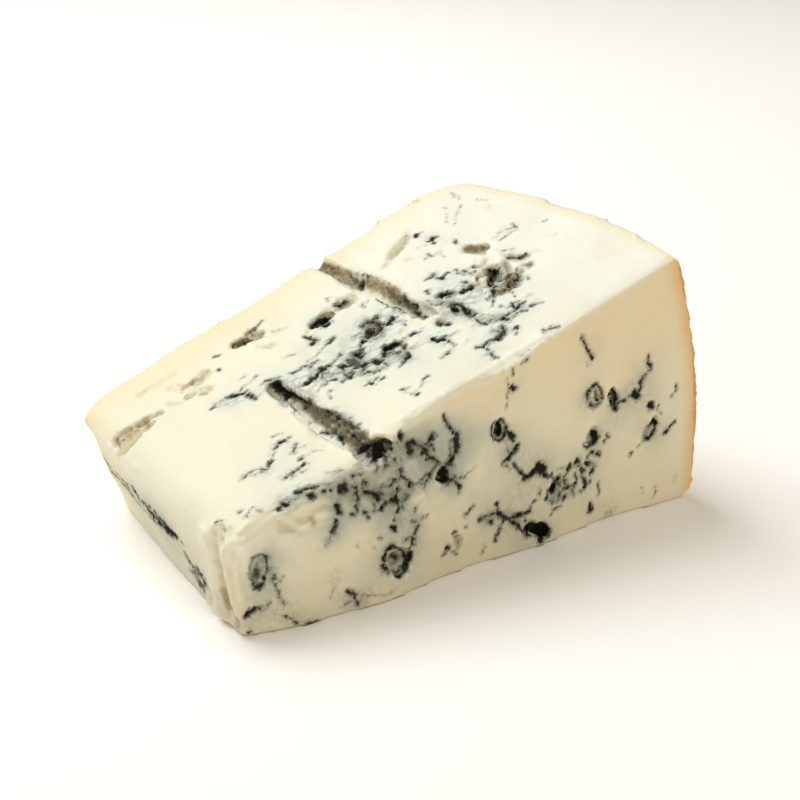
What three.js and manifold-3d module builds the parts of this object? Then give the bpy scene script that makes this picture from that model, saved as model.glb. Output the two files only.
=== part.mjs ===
// A wedge of soft blue-veined cheese, cut from a half wheel and lying on one of its cut sides.
//
// Frame, in millimetres: X runs from the blunt tip to the curved rind, Y from the flat cut that halved the
// wheel to the flat rind behind it, and Z up. The needles that let air into the wheel ran along Y, so the
// sloping top shows their tracks lengthwise and the front cut shows them as round holes.
// The origin is the centre of the bounding box's underside.

import * as THREE from "three";
import { mergeVertices } from "three/addons/utils/BufferGeometryUtils.js";
import Module from "manifold-3d";

const wasm = await Module();
wasm.setup();

// ---- driving dimensions --------------------------------------------------------------------------

const LENGTH = 137.4; // blunt tip to the furthest bulge of the curved rind
const WIDTH = 80.4; // half the height of the wheel
const TIP_HEIGHT = 27.6; // thickness at the tip, on the front cut
const TOP_SLOPE = 0.34; // rise of the top cut towards the rind
const BACK_RISE = 5.6; // how much higher the top is along the flat rind
const BACK_TWIST = 0.0005; // extra rise there for each millimetre of X and Y

const TIP_FOOT = { front: -1, back: 4.6 }; // where the cut across the tip meets the table
const TIP_BROW = { front: -1, back: -6.6 }; // and where it meets the top, which overhangs it
const TIP_ROLL = { run: 9, drop: 3.3 }; // soft edge over the tip: its breadth and its fall
const TIP_CORNER = 3.6; // round corner between the tip and the flat rind
const FRONT_ROLL = { run: 2.2, drop: 0.8 }; // soft edge over the front cut
const SMEARED_ROLL = { run: 5, drop: 3.4 }; // the same edge near the tip, where the knife dragged it
const SMEARED_LENGTH = 26;

const FRONT_FOOT_OUT = { tip: 4, rind: 1 }; // how far the front cut swells at its foot
const FOOT_WAVE = { length: 51, height: 0.9, crest: 86 }; // slow waves in that swelling
const FRONT_CORNER = 10; // length over which that swelling dies out at the tip

const RIND_LEAN_RADIUS = 162; // the curved rind in the front view
const RIND_LEAN_START = 13;
const RIND_SIDE_RADIUS = 160; // and in the plan
const RIND_SIDE_START = 14;
const RIND_SHOULDER = 11; // round edge between the curved and the flat rind
const FRONT_SHOULDER = 5.5; // soft corner where the rind meets the top and front cuts
const FRONT_SHOULDER_FADE = 15;
const RIND_FOOT = 4; // rounding of the rind at the table

const GRID = { x: 42, y: 24, z: 10 }; // facets along each side of the block
const CROWDING = 0.42; // share by which facets are narrower at the edges
const TRIMMED = 1.5; // depth below the table to which the block is made before its foot is cut flat

// ---- noise and small helpers ---------------------------------------------------------------------

const { clamp, lerp, smoothstep } = THREE.MathUtils;

/** A repeatable number from 0 to 1 for a lattice point. */
function latticeValue(i, j, k) {
  let h = Math.imul(i, 374761393) ^ Math.imul(j, 668265263) ^ Math.imul(k, 2147483647);
  h = Math.imul(h ^ (h >>> 13), 1274126177);
  return ((h ^ (h >>> 16)) >>> 0) / 4294967295;
}

/** Smooth noise from -1 to 1 with lumps about `size` millimetres across. */
function noise(x, y, z, size) {
  const p = [x / size, y / size, z / size];
  const cell = p.map(Math.floor);
  const [fx, fy, fz] = p.map((c, n) => smoothstep(c - cell[n], 0, 1));
  const at = (dx, dy, dz) => latticeValue(cell[0] + dx, cell[1] + dy, cell[2] + dz);
  const row = (dy, dz) => lerp(at(0, dy, dz), at(1, dy, dz), fx);
  const sheet = (dz) => lerp(row(0, dz), row(1, dz), fy);
  return 2 * lerp(sheet(0), sheet(1), fz) - 1;
}

/** How far a quarter round of radius r has turned inwards, from 0 at t = 0 to r at t = 1. */
function quarterRound(r, t) {
  const c = clamp(t, 0, 1);
  return r * (1 - Math.sqrt(1 - c * c));
}

/** A bump that is 1 at its centre and fades to nothing over about twice its radius. */
function swell(distance, radius) {
  return Math.exp(-((distance / radius) ** 2));
}

// ---- the block -----------------------------------------------------------------------------------

/** Broad hollows and lips that the wire left on the top cut. */
const TOP_SWELLS = [
  { x: 20, y: 2, radius: 13, height: -0.8 }, // sunken edge before the near needle track
  { x: 44, y: 4, radius: 7, height: 1.1 }, // lip beside it
  { x: 57, y: 2, radius: 9, height: 1.7 },
  { x: 75, y: 2, radius: 7, height: -1.8 },
  { x: 97, y: 76, radius: 12, height: 0.8 },
  { x: 114, y: 64, radius: 14, height: -0.5 },
  { x: 12, y: 62, radius: 11, height: -0.6 },
  { x: 44, y: 82, radius: 18, height: -0.7 },
  { x: 104, y: 34, radius: 10, height: -0.8 },
];

/** X of the tip's foot and brow at a place across the wheel's height. */
function tipEdges(y) {
  const v = clamp(y / WIDTH, 0, 1);
  const corner = quarterRound(TIP_CORNER, (y - WIDTH + TIP_CORNER) / TIP_CORNER);
  return {
    foot: lerp(TIP_FOOT.front, TIP_FOOT.back, v ** 1.8) + 0.3 * corner,
    brow: lerp(TIP_BROW.front, TIP_BROW.back, v ** 0.4) + corner,
  };
}

/** Fall of a soft edge at a distance inside it. */
function edgeFall({ run, drop }, distance) {
  return drop * quarterRound(1, 1 - distance / run);
}

/** Height of the top cut above the table. */
function topHeight(x, y) {
  const plane = TIP_HEIGHT + TOP_SLOPE * x + (BACK_RISE * y) / WIDTH + BACK_TWIST * x * y;
  const swells = TOP_SWELLS.reduce(
    (sum, s) => sum + s.height * swell(Math.hypot(x - s.x, y - s.y), s.radius),
    0,
  );
  const dragged = 1 - smoothstep(x, 0.3 * SMEARED_LENGTH, SMEARED_LENGTH);
  const front = {
    run: lerp(FRONT_ROLL.run, SMEARED_ROLL.run, dragged),
    drop: lerp(FRONT_ROLL.drop, SMEARED_ROLL.drop, dragged),
  };
  return plane + swells - Math.max(edgeFall(TIP_ROLL, x - tipEdges(y).brow), edgeFall(front, y));
}

/** X of the curved rind at a place across the wheel's height and above the table. */
function rindX(y, z) {
  const lean = Math.max(0, z - RIND_LEAN_START) ** 2 / (2 * RIND_LEAN_RADIUS);
  const side = Math.max(0, y - RIND_SIDE_START) ** 2 / (2 * RIND_SIDE_RADIUS);
  const shoulder = quarterRound(RIND_SHOULDER, (y - WIDTH + RIND_SHOULDER) / RIND_SHOULDER);
  const foot = quarterRound(RIND_FOOT, (RIND_FOOT - z) / RIND_FOOT);
  const rim = topHeight(LENGTH - 2 * FRONT_SHOULDER, 5) - 0.95 * FRONT_SHOULDER;
  const nearFront = clamp(1 - y / FRONT_SHOULDER_FADE, 0, 1) ** 2;
  const corner = nearFront * quarterRound(FRONT_SHOULDER, (z - rim) / FRONT_SHOULDER);
  return LENGTH - lean - side - shoulder - foot - corner;
}

/** Y of the front cut, which swells towards its foot. */
function frontY(x, z) {
  const wave = Math.cos((2 * Math.PI * (x - FOOT_WAVE.crest)) / FOOT_WAVE.length);
  const base = lerp(FRONT_FOOT_OUT.tip, FRONT_FOOT_OUT.rind, smoothstep(x, 30, 100));
  const out = base + FOOT_WAVE.height * wave;
  const share = clamp(1 - z / topHeight(x, 5), 0, 1);
  return -out * share * smoothstep(x, -2, FRONT_CORNER);
}

/** A point of the block for its share of the length, width and height. */
function blockPoint(u, v, w) {
  const point = new THREE.Vector3(0, v * WIDTH, w * TIP_HEIGHT);
  for (let round = 0; round < 8; round++) {
    const { foot, brow } = tipEdges(point.y);
    const start = lerp(foot, brow, w);
    point.x = start + (rindX(point.y, point.z) - start) * u;
    point.y = lerp(frontY(point.x, point.z), WIDTH, v);
    point.z = lerp(-TRIMMED, topHeight(point.x, point.y), w);
  }
  return point;
}

/** Uneven surface: curd lumps on the cuts, a rougher skin on the rind, and a flat underside. */
function roughen(point, u, v, w) {
  const { x, y, z } = point;
  const nearTable = smoothstep(z, -TRIMMED, 5);
  const curd = 0.55 * noise(x, y, z, 13) + 0.3 * noise(x + 71, y, z, 5.5);
  const skin = 0.6 * noise(x, y + 37, z, 8) + 0.35 * noise(x, y, z + 53, 4);
  if (w === 1) point.z += curd;
  if (v === 0) point.y -= curd * nearTable;
  if (v === 1) point.y += skin * nearTable;
  if (u === 1) point.x += skin * nearTable;
  if (u === 0) point.x -= curd * nearTable;
  return point;
}

/** Shares from 0 to 1 with closer steps near both ends. */
function crowded(t) {
  return t - (CROWDING * Math.sin(2 * Math.PI * t)) / (2 * Math.PI);
}

function blockGeometry() {
  const geometry = new THREE.BoxGeometry(1, 1, 1, GRID.x, GRID.y, GRID.z);
  const positions = geometry.attributes.position;
  for (let i = 0; i < positions.count; i++) {
    const shares = [positions.getX(i), positions.getY(i), positions.getZ(i)].map((c) =>
      crowded(clamp(c + 0.5, 0, 1)),
    );
    const point = roughen(blockPoint(...shares), ...shares);
    positions.setXYZ(i, point.x, point.y, point.z);
  }
  return geometry;
}

// ---- solids --------------------------------------------------------------------------------------

/** The manifold-3d solid of a closed three.js geometry. */
function solidOf(geometry) {
  const bare = geometry.clone();
  bare.deleteAttribute("normal");
  bare.deleteAttribute("uv");
  const merged = mergeVertices(bare, 1e-4);
  return new wasm.Manifold(
    new wasm.Mesh({
      numProp: 3,
      vertProperties: new Float32Array(merged.attributes.position.array),
      triVerts: new Uint32Array(merged.index.array),
    }),
  );
}

/** The three.js geometry of a manifold-3d solid. */
function geometryOf(solid) {
  const mesh = solid.getMesh();
  return new THREE.BufferGeometry()
    .setAttribute("position", new THREE.BufferAttribute(mesh.vertProperties, 3))
    .setIndex(new THREE.BufferAttribute(mesh.triVerts, 1));
}

/** A lumpy ellipsoid: size is its full length, width and depth, turned by yaw about Z and then by pitch. */
function lump({ at, size, yaw = 0, pitch = 0, rough = 0.16, detail = 1 }) {
  const geometry = new THREE.IcosahedronGeometry(0.5, detail);
  const positions = geometry.attributes.position;
  const point = new THREE.Vector3();
  const turn = new THREE.Euler(
    0,
    THREE.MathUtils.degToRad(pitch),
    THREE.MathUtils.degToRad(yaw),
    "ZYX",
  );
  for (let i = 0; i < positions.count; i++) {
    point.fromBufferAttribute(positions, i);
    const bulge = 1 + rough * noise(point.x * 9 + at[0], point.y * 9 + at[1], point.z * 9, 2);
    point.multiplyScalar(bulge).multiply(new THREE.Vector3(...size));
    point.applyEuler(turn).add(new THREE.Vector3(...at));
    positions.setXYZ(i, point.x, point.y, point.z);
  }
  return solidOf(geometry);
}

/** A round bar along a smooth path, whose width and thickness follow the given functions of 0 to 1. */
function roll({ path, width, thickness, across, sides = 10, steps = 12 }) {
  const curve = new THREE.CatmullRomCurve3(path.map((p) => new THREE.Vector3(...p)));
  const geometry = new THREE.CylinderGeometry(1, 1, 1, sides, steps);
  const positions = geometry.attributes.position;
  const wide = new THREE.Vector3(...across).normalize();
  for (let i = 0; i < positions.count; i++) {
    const t = crowded(clamp(positions.getY(i) + 0.5, 0, 1));
    const along = curve.getTangent(t);
    const thick = new THREE.Vector3().crossVectors(wide, along).normalize();
    const point = curve
      .getPoint(t)
      .addScaledVector(wide, (positions.getX(i) * width(t)) / 2)
      .addScaledVector(thick, (positions.getZ(i) * thickness(t)) / 2);
    positions.setXYZ(i, point.x, point.y, point.z);
  }
  return solidOf(geometry);
}

/** Taper that rounds off both ends of a bar. */
function roundedEnds(t) {
  return Math.sqrt(1 - 0.92 * (2 * t - 1) ** 8);
}

// ---- what was pressed into and torn out of the cheese --------------------------------------------

/** Needle tracks that the top cut opened lengthwise: where they run and how deep their middle lies. */
const NEEDLE = 5.2; // diameter of a needle hole
const NEEDLE_TRACKS = [
  { from: [64.6, 88], to: [73.2, 25], fromDepth: -2, toDepth: 3.2 },
  { from: [30.8, 43], to: [33.6, -6], fromDepth: 1.8, toDepth: 1.2 },
];

function needleTrack({ from, to, fromDepth, toDepth }) {
  const place = (t) => {
    const x = lerp(from[0], to[0], t);
    const y = lerp(from[1], to[1], t);
    const surface = topHeight(x, clamp(y, 3, WIDTH));
    return [x + 0.5 * Math.sin(9 * t), y, surface - lerp(fromDepth, toDepth, t)];
  };
  const uneven = (t) => 1 + 0.1 * Math.sin(17 * t) + 0.06 * Math.sin(31 * t);
  const width = (t) => NEEDLE * uneven(t) * roundedEnds(t);
  return roll({
    path: [0, 0.2, 0.4, 0.6, 0.8, 1].map(place),
    width,
    thickness: (t) => 1.3 * width(t),
    across: [1, 0, 0],
    steps: 14,
  });
}

/** Gaps between curds on the top cut, as place, length along X, width, depth and yaw in degrees. */
const TOP_GAPS = [
  { x: -3, y: 55, long: 18, wide: 4.4, deep: 3.6, yaw: 6 },
  { x: 18.5, y: 61.5, long: 12, wide: 3.4, deep: 2.2, yaw: 4 },
  { x: 37, y: 65, long: 11, wide: 4, deep: 3, yaw: -8 },
  { x: 53, y: 54.6, long: 9, wide: 4.6, deep: 4, yaw: 8 },
  { x: 61, y: 55, long: 9, wide: 3.6, deep: 3, yaw: 6 },
  { x: 84, y: 64, long: 19, wide: 3, deep: 2.6, yaw: 27 },
  { x: 96.3, y: 45.2, long: 8.5, wide: 4.2, deep: 3.8, yaw: -36 },
  { x: 91.6, y: 32, long: 5.6, wide: 9, deep: 7, yaw: 14 },
  { x: 101.2, y: 32.4, long: 9, wide: 2.6, deep: 3, yaw: -38 },
  { x: 96.6, y: 25.6, long: 11, wide: 3, deep: 2.6, yaw: 38 },
  { x: 78, y: 26, long: 4.4, wide: 11, deep: 2.2, yaw: 4 },
  { x: 57.2, y: 38.4, long: 13.5, wide: 3, deep: 2, yaw: 36 },
  { x: 58.6, y: 28.3, long: 9, wide: 2.8, deep: 2.6, yaw: -6 },
];

function topGap({ x, y, long, wide, deep, yaw }) {
  const tilt = -THREE.MathUtils.radToDeg(Math.atan(TOP_SLOPE));
  return lump({
    at: [x, y, topHeight(x, y)],
    size: [long, wide, 2 * deep],
    yaw,
    pitch: tilt,
    rough: 0.3,
  });
}

/** Holes in the front cut, as place on the face, width, height, depth and lean in degrees. */
const FRONT_HOLES = [
  { x: 3.6, z: 16.2, wide: 5, high: 7.6, deep: 2.4, lean: 4 },
  { x: 39.8, z: 9.3, wide: 7.4, high: 8.4, deep: 4, lean: -12 },
  { x: 71.4, z: 34.9, wide: 4.4, high: 6.4, deep: 8, lean: 4 },
  { x: 102.2, z: 37.3, wide: 4.2, high: 6, deep: 3, lean: 0 },
  { x: 107.2, z: 36, wide: 3.2, high: 5, deep: 2, lean: 0 },
  { x: 101.2, z: 25.8, wide: 4.2, high: 6.4, deep: 2.4, lean: 10 },
  { x: 88.6, z: 14.9, wide: 3.2, high: 9.4, deep: 5, lean: 26 },
  { x: 83.6, z: 4.6, wide: 6.4, high: 4.6, deep: 5, lean: 0 },
  { x: 121.5, z: 23.4, wide: 3.4, high: 8.4, deep: 3, lean: 22 },
  { x: 58.6, z: 8.6, wide: 3.4, high: 4.6, deep: 2.2, lean: 0 },
  { x: 54, z: 27.6, wide: 4.4, high: 5.4, deep: 4, lean: 20 },
  { x: 42.4, z: 25.6, wide: 4, high: 4, deep: 3, lean: 0 },
];

function frontHole({ x, z, wide, high, deep, lean }) {
  return lump({ at: [x, frontY(x, z), z], size: [wide, 2 * deep, high], pitch: lean, rough: 0.22 });
}

/** Pieces that broke off the upper edge of the front cut. */
const EDGE_CHIPS = [
  { at: [15, -1.2, 27.2], size: [15, 5, 5], yaw: -3, pitch: -14 },
  { at: [36, -0.5, 38.6], size: [8.5, 9, 7], yaw: 0, pitch: -20 },
];

/** Holes that the needles left where they went in through the flat rind, as place and width. */
const ENTRY_HOLES = [
  { x: 10, z: 17, wide: 4.6 },
  { x: 44, z: 10.5, wide: 5 },
  { x: 79, z: 34, wide: 4.8 },
  { x: 108, z: 38, wide: 4.6 },
  { x: 30, z: 30, wide: 4.2 },
  { x: 96, z: 12, wide: 4.4 },
];

function entryHole({ x, z, wide }) {
  return lump({ at: [x, WIDTH, z], size: [wide, 9, 1.15 * wide], rough: 0.15 });
}

/** Soft cheese that the knife dragged round the corner at the tip: two rolls that hang down its edge. */
const CORNER_FOLDS = [
  {
    path: [[2, 4.2, 24], [-0.8, 3.8, 21], [-0.6, 2.8, 12], [1, 2.4, -1]],
    broad: [7.4, 5],
    proud: [4.2, 4.8],
  },
  {
    path: [[1, 11.4, 26], [-2.6, 12, 22.6], [-1.6, 11.2, 14], [-0.6, 10, 7], [1, 8.4, -1]],
    broad: [8, 8.4],
    proud: [4.2, 5.8],
  },
];

function cornerFold({ path, broad, proud }) {
  return roll({
    path,
    width: (t) => lerp(broad[0], broad[1], t) * roundedEnds(t),
    thickness: (t) => lerp(proud[0], proud[1], t) * roundedEnds(t),
    across: [0, 1, 0],
    sides: 12,
    steps: 10,
  });
}

// ---- the wedge -----------------------------------------------------------------------------------

/** Everything under the table, which trims the foot flat. */
function belowTable() {
  const depth = 10;
  const slab = new THREE.BoxGeometry(3 * LENGTH, 3 * WIDTH, depth);
  return solidOf(slab.translate(0, 0, -depth / 2));
}

function wedgeSolid() {
  const cuts = [
    ...NEEDLE_TRACKS.map(needleTrack),
    ...TOP_GAPS.map(topGap),
    ...FRONT_HOLES.map(frontHole),
    ...ENTRY_HOLES.map(entryHole),
    ...EDGE_CHIPS.map((chip) => lump({ rough: 0.2, ...chip })),
    belowTable(),
  ];
  let solid = solidOf(blockGeometry());
  for (const fold of CORNER_FOLDS) solid = solid.add(cornerFold(fold));
  for (const cut of cuts) solid = solid.subtract(cut);
  return solid;
}

const paste = new THREE.MeshStandardMaterial({
  name: "blue_cheese_paste",
  color: new THREE.Color(0.93, 0.89, 0.74),
  roughness: 0.5,
  metalness: 0,
});

const cheese = new THREE.Mesh(geometryOf(wedgeSolid()), paste);
cheese.name = "cheese_wedge";

cheese.geometry.computeBoundingBox();
const box = cheese.geometry.boundingBox;
cheese.position.set(
  -(box.min.x + box.max.x) / 2,
  -(box.min.y + box.max.y) / 2,
  -box.min.z,
);

const wedge = new THREE.Group();
wedge.add(cheese);

export default wedge;
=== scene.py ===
# %% [markdown]
# # A wedge of blue cheese
#
# The real thing is a soft, creamy cheese that ripens round threads of blue mould. This one was cut from
# a half wheel: it lies on one cut side, a wire left the sloping top, the cut that halved the wheel is in
# front, and rind is left on its back and its wide end. Steel needles let air in, and their tracks and the
# gaps between the curds are where the mould grew.
#
# The solid wedge already has the size, the slopes, the holes and the needle tracks. This lesson gives it
# a fine surface and the looks: veins, stains, rind and the soft shine of fat.

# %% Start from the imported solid
import math
import random

import bmesh
import bpy
import numpy as np
from mathutils import Euler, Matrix, Vector, kdtree, noise
from mathutils.bvhtree import BVHTree


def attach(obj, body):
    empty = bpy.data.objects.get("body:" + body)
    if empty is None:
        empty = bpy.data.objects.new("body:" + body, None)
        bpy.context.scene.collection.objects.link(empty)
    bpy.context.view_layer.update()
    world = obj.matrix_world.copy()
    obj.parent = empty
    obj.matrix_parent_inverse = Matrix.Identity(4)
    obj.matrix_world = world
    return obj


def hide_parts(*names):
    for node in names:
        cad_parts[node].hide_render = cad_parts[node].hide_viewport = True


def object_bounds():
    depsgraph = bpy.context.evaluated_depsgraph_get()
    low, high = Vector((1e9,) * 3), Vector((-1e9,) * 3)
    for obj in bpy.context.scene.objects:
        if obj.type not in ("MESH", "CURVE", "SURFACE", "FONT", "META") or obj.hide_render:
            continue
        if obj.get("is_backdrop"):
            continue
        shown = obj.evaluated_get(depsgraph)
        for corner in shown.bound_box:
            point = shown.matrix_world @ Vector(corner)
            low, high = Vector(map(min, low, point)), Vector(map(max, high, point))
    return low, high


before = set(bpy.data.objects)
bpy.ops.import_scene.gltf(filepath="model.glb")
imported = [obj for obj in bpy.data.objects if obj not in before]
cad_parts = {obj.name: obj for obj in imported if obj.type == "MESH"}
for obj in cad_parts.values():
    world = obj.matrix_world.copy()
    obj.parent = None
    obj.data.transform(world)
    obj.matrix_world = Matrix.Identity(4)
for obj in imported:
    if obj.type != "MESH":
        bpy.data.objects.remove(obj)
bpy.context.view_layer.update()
MM = 0.001

# %% [markdown]
# ## The camera
#
# Marks on the cheese are placed the way a painter would: as points in the picture, from where they are
# thrown onto the cheese. So the camera comes first. It has a lens a little longer than normal, stands
# about 40 cm away, and looks down on the wedge past its tip.

# %% Camera
PICTURE = 800  # pixels along each side
SENSOR = 36.0
LENS = 67.5
LOOK_DOWN = 22.587  # degrees under the horizon
LOOK_RIGHT = 33.148  # degrees from +Y towards +X
EYE = Vector((-199.13, -306.78, 183.0)) * MM

camera = bpy.data.objects.new("camera", bpy.data.cameras.new("camera"))
camera.data.sensor_width = SENSOR
camera.data.lens = LENS
camera.location = EYE
camera.rotation_euler = (math.radians(90 - LOOK_DOWN), 0, math.radians(-LOOK_RIGHT))
bpy.context.scene.collection.objects.link(camera)
bpy.context.scene.camera = camera


def sight(x, y):
    """Direction from the eye through a point of the picture."""
    scale = SENSOR / LENS / PICTURE
    ray = Vector(((x - PICTURE / 2) * scale, (PICTURE / 2 - y) * scale, -1))
    return (Euler(camera.rotation_euler).to_matrix() @ ray).normalized()


print("a point in the middle of the picture is seen along", sight(PICTURE / 2, PICTURE / 2))

# %% [markdown]
# ## A fine skin over the solid
#
# A solid for machining has few, flat facets. Cheese is soft, so its surface is rebuilt in small even
# squares, which is what a sculptor does before adding detail. Subdividing the facets would keep their long
# thin shapes, so a voxel remesh does it: it fills the solid with small cubes and wraps a new skin round
# them. It needs a copy whose loose triangles have been joined first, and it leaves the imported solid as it
# is.

# %% Join the solid's triangles
JOIN_WITHIN = 1e-6  # m
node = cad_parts["cheese_wedge"]


def merged_copy(source):
    """A new mesh object with the source's shape, its loose triangles joined, and its faces for search."""
    shell = bmesh.new()
    shell.from_mesh(source.data)
    bmesh.ops.remove_doubles(shell, verts=shell.verts, dist=JOIN_WITHIN)
    mesh = bpy.data.meshes.new("cheese")
    shell.to_mesh(mesh)
    faces = BVHTree.FromBMesh(shell)
    shell.free()
    copy = bpy.data.objects.new("cheese", mesh)
    bpy.context.scene.collection.objects.link(copy)
    return copy, faces


cheese, solid = merged_copy(node)
print("faces of the joined copy:", len(cheese.data.polygons))

# %% Remesh
SKIN_STEP = 1.25  # mm


def apply_modifiers(piece):
    """Turns what the modifiers make into the piece's own mesh."""
    graph = bpy.context.evaluated_depsgraph_get()
    finished = bpy.data.meshes.new_from_object(piece.evaluated_get(graph))
    piece.modifiers.clear()
    piece.data = finished


remesh = cheese.modifiers.new("skin", "REMESH")
remesh.mode = "VOXEL"
remesh.voxel_size = SKIN_STEP * MM
apply_modifiers(cheese)
print("faces of the new skin:", len(cheese.data.polygons))

# %% [markdown]
# ## Where the mould grows
#
# Blue mould needs air, so it follows cracks, curd gaps and needle holes. On the front cut it shows as
# short lines, small rings round single curds, and holes that the needles left. On top the wire dragged
# it into feathery streaks. Noise could make such veins, but not these ones, so each mark below is a path
# of picture points with a strength and a breadth in millimetres: strength 1 is black, 0.3 a faint grey.
# Closed rings come from a small function.

# %% A ring of picture points
RING_STEP = 30  # degrees between the points of a ring


def ring(x, y, wide, high, lean=0, start=0, end=360):
    """A path round an ellipse in the picture, or along the part of it between two angles in degrees."""
    steps = max(5, round((end - start) / RING_STEP))
    turn = math.radians(lean)
    places = []
    for step in range(steps + 1):
        angle = math.radians(start + (end - start) * step / steps)
        across, up = wide / 2 * math.cos(angle), high / 2 * math.sin(angle)
        px = x + across * math.cos(turn) - up * math.sin(turn)
        py = y + across * math.sin(turn) + up * math.cos(turn)
        places.append(f"{px:.1f},{py:.1f}")
    return " ".join(places)


print("a ring round a needle hole:", ring(595, 396, 14, 21, 4))

# %% [markdown]
# ## Veins round the mouth of the near track
#
# A needle track opens in the front cut, and most air came in through its mouth. The mould is blackest
# there, with a tall ring and a pit beside it. Short broad paths make the black spots, and long thin ones
# the hairs between them.

# %% Mouth of the near track
FRONT_MOULD = {
    "mouth of the near track": [
        (1.0, 1.5, "359,450 366,447 372,445"),
        (1.0, 2.3, "374,446 380,445"),
        (1.0, 2.3, "376,450 378,454"),
        (1.0, 1.2, "373,452 374,459"),
        (1.0, 1.1, "381,441 391,443"),
        (1.0, 0.9, "380,452 386,451 390,449"),
        (0.9, 0.9, "385,453 386,459 386,465"),
        (0.6, 1.2, "365,451 368,455"),
        (0.6, 0.7, "376,461 378,468 376,473 382,470"),
    ],
    "specks beside it": [
        (0.95, 1.2, "400,434 401,437"),
        (0.5, 0.5, "399,440 397,443"),
        (0.9, 1.2, "413,442 417,445"),
        (0.7, 1.5, "409,445 410,451"),
        (0.9, 0.8, "418,446 423,448 427,452 429,457"),
        (0.8, 0.7, "422,450 423,453"),
        (1.0, 0.9, "427,455 428,457"),
        (0.95, 1.2, "430,440 433,436"),
        (0.9, 0.8, "432,445 433,449"),
        (0.5, 0.8, "426,444 429,446"),
        (0.7, 0.6, "395,459 397,465"),
    ],
    "tall ring": [
        (0.95, 0.6, "444,416 446,420 448,425 451,429 454,433"),
        (0.7, 1.2, "457,435 457,443 457,452"),
        (1.0, 0.5, "455,434 455,440 454,446"),
        (1.0, 0.7, "455,452 454,456 452,460 449,463"),
        (0.9, 0.5, "458,434 459,440 459,446"),
        (0.8, 0.4, "452,440 451,446 451,452 450,457"),
        (0.9, 0.5, "427,458 433,458 438,461 441,464"),
        (0.7, 0.4, "441,464 446,463 449,461 452,455"),
    ],
    "pit under it": [
        (0.9, 0.7, "449,463 445,467 442,468"),
        (1.0, 2.1, "444,478 446,480"),
        (1.0, 1.2, "438,479 442,481"),
        (0.8, 1.7, "441,474 443,471"),
        (1.0, 0.7, "443,468 446,470 448,476"),
        (0.95, 0.6, "437,465 433,470 430,474"),
        (1.0, 0.7, "430,474 431,475"),
        (0.8, 0.5, "430,474 425,475 423,479 422,484"),
        (0.9, 0.6, "450,479 454,481 458,484 459,487"),
        (1.0, 0.8, "459,485 460,488"),
        (0.7, 0.5, "459,488 459,493"),
        (0.7, 0.5, "461,477 460,483"),
        (0.6, 0.5, "455,476 457,480"),
        (0.3, 0.7, "461,480 467,474 475,467"),
        (0.5, 0.9, "451,464 454,466"),
    ],
}


def paths_in(groups):
    """How many paths some groups of marks have together."""
    return sum(len(group) for group in groups.values())


print("paths round the mouth of the near track:", paths_in(FRONT_MOULD))

# %% [markdown]
# ## Veins round a curd
#
# Here one curd kept its round shape, and the mould took the gap round it. From there it goes on in a
# chain of specks towards the tip, and down to a needle hole at the foot. An ellipse would be too even for
# the curd, so its border is drawn in short pieces.

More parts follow.
